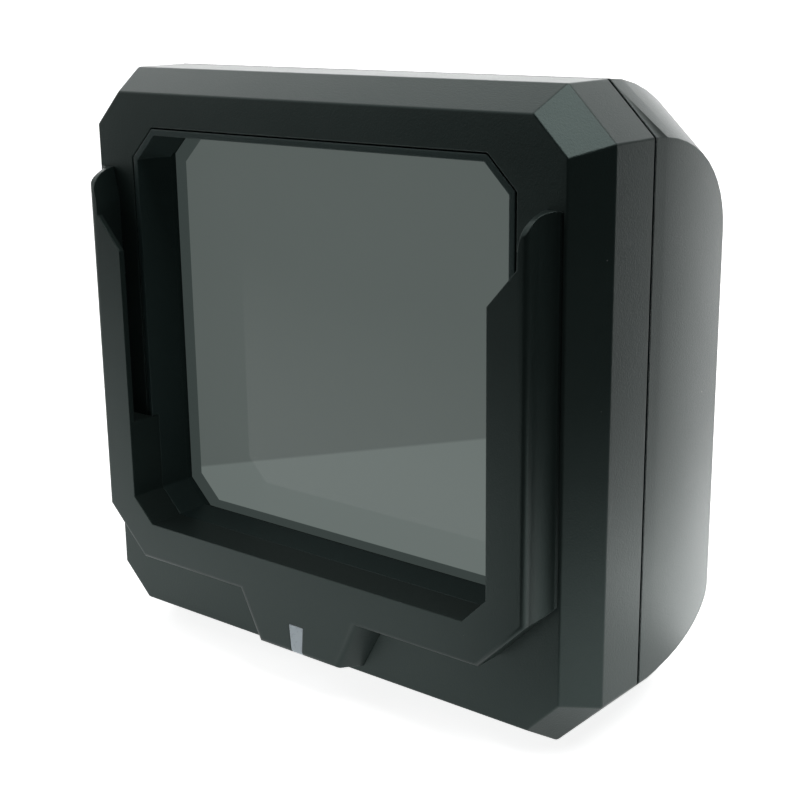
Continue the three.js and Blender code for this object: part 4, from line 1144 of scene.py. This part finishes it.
class READER_OT_main_board(bpy.types.Operator):
    """Fit the main board with chips, capacitors, a ribbon socket and small parts"""

    bl_idname = "reader.main_board"
    bl_label = "Main board"

    def execute(self, context):
        low, high = node_box("main_board")
        front, rear = low.y / MM, high.y / MM
        chips, leads = bmesh.new(), bmesh.new()
        for chip in CHIPS:
            self.add_chip(chips, leads, *chip, front)
        mesh_object("main_chips", chips, chosen="contact")
        mesh_object("chip_leads", leads, chosen="steel")
        cans = bmesh.new()
        for x in CAPACITOR_PLACES:
            turned(cans, (x, front, CAPACITOR_HEIGHT), (0, -1, 0), CAPACITOR, 32)
        mesh_object("smoothing_capacitors", cans, chosen="steel")
        socket = bmesh.new()
        block(socket, (-9, 9), (front - 1.2, front), (115.2, 118.6), 0.2)
        block(socket, (-9.6, 9.6), (front - 1.9, front - 1.0), (117.4, 119.2), 0.25)
        mesh_object("ribbon_socket", socket, chosen="milky")
        bodies, ends = bmesh.new(), bmesh.new()
        for z in SMALL_PART_ROWS:
            for i in range(16):
                x = (i - 7.5) * SMALL_PART_PITCH
                block(bodies, around(x, 0.35), (rear, rear + 0.32), around(z, 0.27), 0.05)
                for end in (-1, 1):
                    xs = around(x + end * 0.48, 0.15)
                    block(ends, xs, (rear, rear + 0.35), around(z, 0.28), 0.04)
        mesh_object("small_parts", bodies, chosen="contact")
        mesh_object("small_part_ends", ends, chosen="steel")
        softened("shield_can", "processor_shield", THIN_EDGE, "steel")
        softened("sounder_case", "sounder", FULL_EDGE, "contact")
        return {"FINISHED"}

    def add_chip(self, chips, leads, x, z, width, height, front):
        """A chip with a row of bent leads along two of its sides."""
        ys = (front - 1.2, front - 0.1)
        block(chips, around(x, width / 2), ys, around(z, height / 2), 0.12)
        count = int(height / LEAD_PITCH)
        for i in range(count):
            zs = around(z + (i - (count - 1) / 2) * LEAD_PITCH, 0.2)
            for end in (-1, 1):
                root = x + end * width / 2
                shoulder = sorted((root - end * 0.1, root + end * 0.5))
                shin = sorted((root + end * 0.4, root + end * 0.55))
                foot = sorted((root + end * 0.4, root + end * 1.1))
                block(leads, shoulder, (front - 0.65, front - 0.5), zs)
                block(leads, shin, (front - 0.65, front - 0.02), zs)
                block(leads, foot, (front - 0.15, front - 0.02), zs)


class READER_OT_card_holders(bpy.types.Operator):
    """Make the two card holders with their steel covers and spring contacts"""

    bl_idname = "reader.card_holders"
    bl_label = "Card holders"

    def execute(self, context):
        for side in ("left", "right"):
            self.add_holder(side)
        return {"FINISHED"}

    def add_holder(self, side):
        """One holder: its body, a cover of crossed bars and two columns of springs."""
        node = "card_holder_" + side
        softened("card_slot_" + side, node, THIN_EDGE, "contact")
        low, high = node_box(node)
        x, back = (low.x + high.x) / 2 / MM, high.y / MM
        bottom, top = low.z / MM, high.z / MM
        cover, springs = bmesh.new(), bmesh.new()
        ys = (back - 0.02, back + 0.14)
        for bar in (-1, 0, 1):
            block(cover, around(x + bar * 6.4, 0.9), ys, (bottom + 0.4, top - 0.4), 0.06)
        # The cross bars stand a little proud of the upright ones
        ys = (back - 0.04, back + 0.18)
        for height in (bottom + 1.2, (bottom + top) / 2, top - 1.2):
            block(cover, around(x, 7.3), ys, around(height, 0.8), 0.06)
        mesh_object("card_cover_" + side, cover, chosen="steel")
        ys = (back - 0.5, back + 0.02)
        for column in (-1, 1):
            for row in range(3):
                z = bottom + 3.4 + row * CARD_CONTACT_PITCH
                block(springs, around(x + column * 3.2, 0.45), ys, around(z, 0.9), 0.1)
        mesh_object("card_springs_" + side, springs, chosen="gold")


class READER_OT_antenna(bpy.types.Operator):
    """Lay the antenna's tracks along the outline of its board"""

    bl_idname = "reader.antenna"
    bl_label = "Antenna"

    def execute(self, context):
        shape = node_form("antenna_board")
        bmesh.ops.remove_doubles(shape, verts=shape.verts, dist=WELD)
        hidden = [face for face in shape.faces if face.normal.y > FRONT_FACING]
        bmesh.ops.delete(shape, geom=hidden, context="FACES")
        kept = []
        for width, track in ANTENNA_BANDS:
            inner = [face for face in shape.faces if face not in kept]
            made = bmesh.ops.inset_region(
                shape, faces=inner, thickness=width * MM, use_even_offset=True, use_boundary=True
            )["faces"]
            if track:
                kept += made
            else:
                bmesh.ops.delete(shape, geom=made, context="FACES")
        rest = [face for face in shape.faces if face not in kept]
        bmesh.ops.delete(shape, geom=rest, context="FACES")
        for vert in shape.verts:
            vert.co.y -= TRACK_HEIGHT * MM
        mesh_object("antenna_tracks", shape, chosen="gold")
        return {"FINISHED"}


class READER_OT_optics(bpy.types.Operator):
    """Soften the chassis, the lens mount and the lamp strips, and add the lamps' faces"""

    bl_idname = "reader.optics"
    bl_label = "Optics"

    def execute(self, context):
        softened("optics_box", "optical_chassis", FULL_EDGE, "chassis")
        softened("lens_mount", "lens_holder", FULL_EDGE, "chassis")
        softened("lens_tube", "lens_barrel", FINE_EDGE, "black_steel")
        for side in ("left", "right"):
            softened("lamp_strip_" + side, "light_strip_" + side, FINE_EDGE, "milky")
            softened("lamp_cover_" + side, "light_diffuser_" + side, FULL_EDGE, "milky")
            self.add_lamp_faces(side)
        return {"FINISHED"}

    def add_lamp_faces(self, side):
        """A strip's lamps, seen as yellow squares on its inner face."""
        low, high = node_box("light_strip_" + side)
        inner = min(abs(low.x), abs(high.x)) / MM
        sign = 1 if low.x > 0 else -1
        xs = sorted((sign * (inner - 0.05), sign * (inner + 0.1)))
        span = (high.z - low.z) / MM
        middle = (low.y + high.y) / 2 / MM
        dies = bmesh.new()
        for i in range(LAMPS_PER_STRIP):
            z = low.z / MM + span * (i + 0.5) / LAMPS_PER_STRIP
            block(dies, xs, around(middle, 1.1), around(z, 1.1), 0.04)
        mesh_object("lamp_faces_" + side, dies, chosen="phosphor")


# The floor, the lamps, the world and the camera

# Way to the dark side of the studio, as the reader sees it: level, to the right and the front
DARK_SIDE = (0.906, -0.423, 0.0)
UPWARD = (0.0, 0.0, 1.0)
# Straight edges in what the reader sees: the way each lies in, its reach and its soft width
WORLD_DARK = (DARK_SIDE, -0.1, 1.0)
FRONT_END = ((0.3, -0.954, 0.0), 0.17, 0.26)
REAR_GLOW = ((0.1, 0.995, 0.0), 0.03, 0.05)
REAR_GLOW_CORNER = ((-0.5, 0.866, 0.0), -0.001, 0.02)
REAR_GLOW_SIDE = ((-0.94, 0.342, 0.0), -0.088, 0.08)
BACKDROP_START = (UPWARD, 0.6, 0.8)
BACKDROP_END = (UPWARD, 4.0, 2.0)
RIGHT_SIDE = ((1.0, 0.0, 0.0), 0.0, 0.2)
# Soft width of the pale sheet's end
SHEET_BLUR = 0.07
# Middle of the bright patch beside the reader, and where it fades out
BRIGHT_PATCH = (0.12, 0.01, 0.0)
PATCH_FADE = (0.04, 0.14)
# Where the glow behind the reader fades, and how much of it goes
REAR_FADE = (0.13, 0.28)
REAR_LOSS = 0.6
# Share of the glow on the backdrop, and what the right side adds to the near floor's
BACKDROP_SHARE = 0.3
RIGHT_EXTRA = 0.16
# What is left of the floor's colour past the sheet's end
DARK_FLOOR = 0.03
# Lamps: name, place, aim and width
LAMPS = (
    ("top", (0.10, 0.26, 0.62), (0.08, 0.20, 0.0), 0.4),
    ("side", (0.36, 0.02, 0.88), (0.0, 0.0, 0.1), 0.6),
)


class READER_OT_stage(bpy.types.Operator):
    """Make the floor, the lamps, the world and the camera"""

    bl_idname = "reader.stage"
    bl_label = "Stage"

    def execute(self, context):
        stage = context.scene.reader_stage
        self.add_floor(stage)
        self.add_lamps(stage)
        self.set_world(stage)
        self.add_camera(stage)
        context.scene.view_settings.view_transform = "Standard"
        return {"FINISHED"}

    def add_floor(self, stage):
        """One sheet: floor in front, swept up into a backdrop far behind."""
        width, depth, rise, bend, steps = 14.0, 7.0, 7.0, 2.0, 16
        outline = [(-depth, 0.0), (depth - bend, 0.0)]
        for i in range(1, steps + 1):
            angle = i / steps * math.pi / 2
            across = depth - bend + bend * math.sin(angle)
            outline.append((across, bend - bend * math.cos(angle)))
        outline.append((depth, rise))
        shape = bmesh.new()
        left, right = (
            [shape.verts.new((x, y, z)) for y, z in outline] for x in (-width / 2, width / 2)
        )
        for i in range(len(outline) - 1):
            shape.faces.new((left[i], right[i], right[i + 1], left[i + 1]))
        bmesh.ops.recalc_face_normals(shape, faces=shape.faces)
        mesh = bpy.data.meshes.new("floor")
        shape.to_mesh(mesh)
        shape.free()
        mesh.shade_smooth()
        mesh.materials.append(self.floor_material(stage))
        floor = bpy.data.objects.new("floor", mesh)
        bpy.context.collection.objects.link(floor)
        floor.rotation_euler.z = stage.azimuth

    def floor_material(self, stage):
        """Pale and plain. The eye sees white all over; the reader sees where the sheet ends."""
        material, tree, shader = new_material("Studio floor")
        place = tree.nodes.new("ShaderNodeNewGeometry").outputs["Position"]
        seen = seen_by_eye(tree)
        unseen = flipped(tree, seen)
        off = self.off_sheet(tree, place, stage)
        pale = stage.floor_colour
        cloud = noise(tree, place, scale=6.0, detail=3.0)
        tone = mix_colour(tree, cloud, scaled(pale, 0.985), pale)
        dark = maths(tree, "MULTIPLY", off, unseen)
        extra = beyond(tree, place, *RIGHT_SIDE)
        near = maths(tree, "MULTIPLY_ADD", extra, RIGHT_EXTRA, stage.sheet_glow)
        near = maths(tree, "MULTIPLY", flipped(tree, off), near)
        rear = self.rear_glow(tree, place)
        glow = maths(tree, "MULTIPLY_ADD", rear, stage.backdrop_glow, near)
        mirrored = maths(tree, "MULTIPLY", glow, unseen)
        feed(
            tree,
            shader,
            Base_Color=mix_colour(tree, dark, tone, scaled(pale, DARK_FLOOR)),
            Roughness=0.9,
            Specular_IOR_Level=0.1,
            Emission_Color=(1, 1, 1, 1),
            Emission_Strength=maths(tree, "MULTIPLY_ADD", seen, stage.floor_lift, mirrored),
        )
        return material

    def off_sheet(self, tree, place, stage):
        """One past the pale sheet's end, apart from the bright patch beside the reader."""
        past = beyond(tree, place, DARK_SIDE, stage.sheet_reach, SHEET_BLUR)
        off = maths(tree, "MAXIMUM", past, beyond(tree, place, *FRONT_END))
        patch = measure(tree, "DISTANCE", place, BRIGHT_PATCH)
        return maths(tree, "MULTIPLY", off, soft_step(tree, patch, *PATCH_FADE))

    def rear_glow(self, tree, place):
        """Where the floor behind the reader and the foot of the backdrop glow."""
        rear = beyond(tree, place, *REAR_GLOW)
        for edge in (REAR_GLOW_CORNER, REAR_GLOW_SIDE):
            rear = maths(tree, "MULTIPLY", rear, beyond(tree, place, *edge))
        fading = soft_step(tree, measure(tree, "LENGTH", place), *REAR_FADE)
        kept = flipped(tree, maths(tree, "MULTIPLY", fading, REAR_LOSS))
        rear = maths(tree, "MULTIPLY", rear, kept)
        low_part = flipped(tree, beyond(tree, place, *BACKDROP_END))
        band = maths(tree, "MULTIPLY", beyond(tree, place, *BACKDROP_START), low_part)
        return maths(tree, "MULTIPLY_ADD", band, BACKDROP_SHARE, rear)

    def add_lamps(self, stage):
        """One lamp above and behind, and one high on the right."""
        for name, place, target, size in LAMPS:
            data = bpy.data.lights.new(name, "AREA")
            data.energy = getattr(stage, name + "_power")
            data.size = size
            lamp = bpy.data.objects.new(name, data)
            bpy.context.collection.objects.link(lamp)
            lamp.location = place
            lamp.rotation_mode = "QUATERNION"
            aim = Vector(target) - Vector(place)
            lamp.rotation_quaternion = aim.to_track_quat("-Z", "Y")
            lamp.visible_camera = False

    def set_world(self, stage):
        """White to the eye; the reader sees it pale on the left and behind, dark in front."""
        world = bpy.data.worlds.new("Studio")
        bpy.context.scene.world = world
        world.use_nodes = True
        tree = world.node_tree
        way = tree.nodes.new("ShaderNodeTexCoord").outputs["Generated"]
        pale = flipped(tree, beyond(tree, way, *WORLD_DARK))
        lit = maths(tree, "MULTIPLY", pale, stage.world_strength)
        strength = maths(tree, "MAXIMUM", lit, seen_by_eye(tree))
        feed(tree, tree.nodes["Background"], Color=(1, 1, 1, 1), Strength=strength)

    def add_camera(self, stage):
        """Stands where the photograph was taken from."""
        azimuth, elevation, roll = stage.azimuth, stage.elevation, stage.roll
        level = math.cos(elevation)
        behind = Vector(
            (math.sin(azimuth) * level, -math.cos(azimuth) * level, math.sin(elevation))
        )
        right = (-behind).cross(Vector(UPWARD)).normalized()
        up = right.cross(-behind)
        right, up = (
            right * math.cos(roll) + up * math.sin(roll),
            up * math.cos(roll) - right * math.sin(roll),
        )
        data = bpy.data.cameras.new("camera")
        data.lens = stage.lens
        data.sensor_width = 36.0
        data.clip_start = 0.01
        data.clip_end = 50.0
        camera = bpy.data.objects.new("camera", data)
        bpy.context.collection.objects.link(camera)
        turn = Matrix((right, up, behind)).transposed()
        camera.matrix_world = Matrix.Translation(stage.camera_place) @ turn.to_4x4()
        bpy.context.scene.camera = camera


class READER_PT_panel(bpy.types.Panel):
    """The reader's settings and steps"""

    bl_idname = "READER_PT_panel"
    bl_label = "Passport Reader"
    bl_space_type = "VIEW_3D"
    bl_region_type = "UI"
    bl_category = "Reader"

    def draw(self, context):
        scene = context.scene
        for title, settings in (
            ("Plastics", scene.reader_plastics),
            ("Glass and light", scene.reader_glass),
            ("Stage", scene.reader_stage),
        ):
            box = self.layout.box()
            box.label(text=title)
            for name in settings.__annotations__:
                box.prop(settings, name)
        steps = self.layout.box()
        steps.label(text="Steps")
        for operator in OPERATORS:
            steps.operator(operator.bl_idname)


GROUPS = (
    ("reader_plastics", ReaderPlastics),
    ("reader_glass", ReaderGlass),
    ("reader_stage", ReaderStage),
)
OPERATORS = (
    READER_OT_dress_nodes,
    READER_OT_shells,
    READER_OT_guide,
    READER_OT_bezel,
    READER_OT_border,
    READER_OT_door,
    READER_OT_feet,
    READER_OT_screws,
    READER_OT_sockets,
    READER_OT_main_board,
    READER_OT_card_holders,
    READER_OT_antenna,
    READER_OT_optics,
    READER_OT_stage,
)


def register():
    """Registers the settings, the operators and the panel."""
    for name, group in GROUPS:
        bpy.utils.register_class(group)
        setattr(bpy.types.Scene, name, bpy.props.PointerProperty(type=group))
    for operator in OPERATORS:
        bpy.utils.register_class(operator)
    bpy.utils.register_class(READER_PT_panel)


def unregister():
    """Takes everything back that register added."""
    bpy.utils.unregister_class(READER_PT_panel)
    for operator in reversed(OPERATORS):
        bpy.utils.unregister_class(operator)
    for name, group in reversed(GROUPS):
        delattr(bpy.types.Scene, name)
        bpy.utils.unregister_class(group)


def main():
    """Registers the add-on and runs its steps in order."""
    register()
    for operator in OPERATORS:
        family, step = operator.bl_idname.split(".")
        getattr(getattr(bpy.ops, family), step)()


if __name__ == "__main__":
    main()
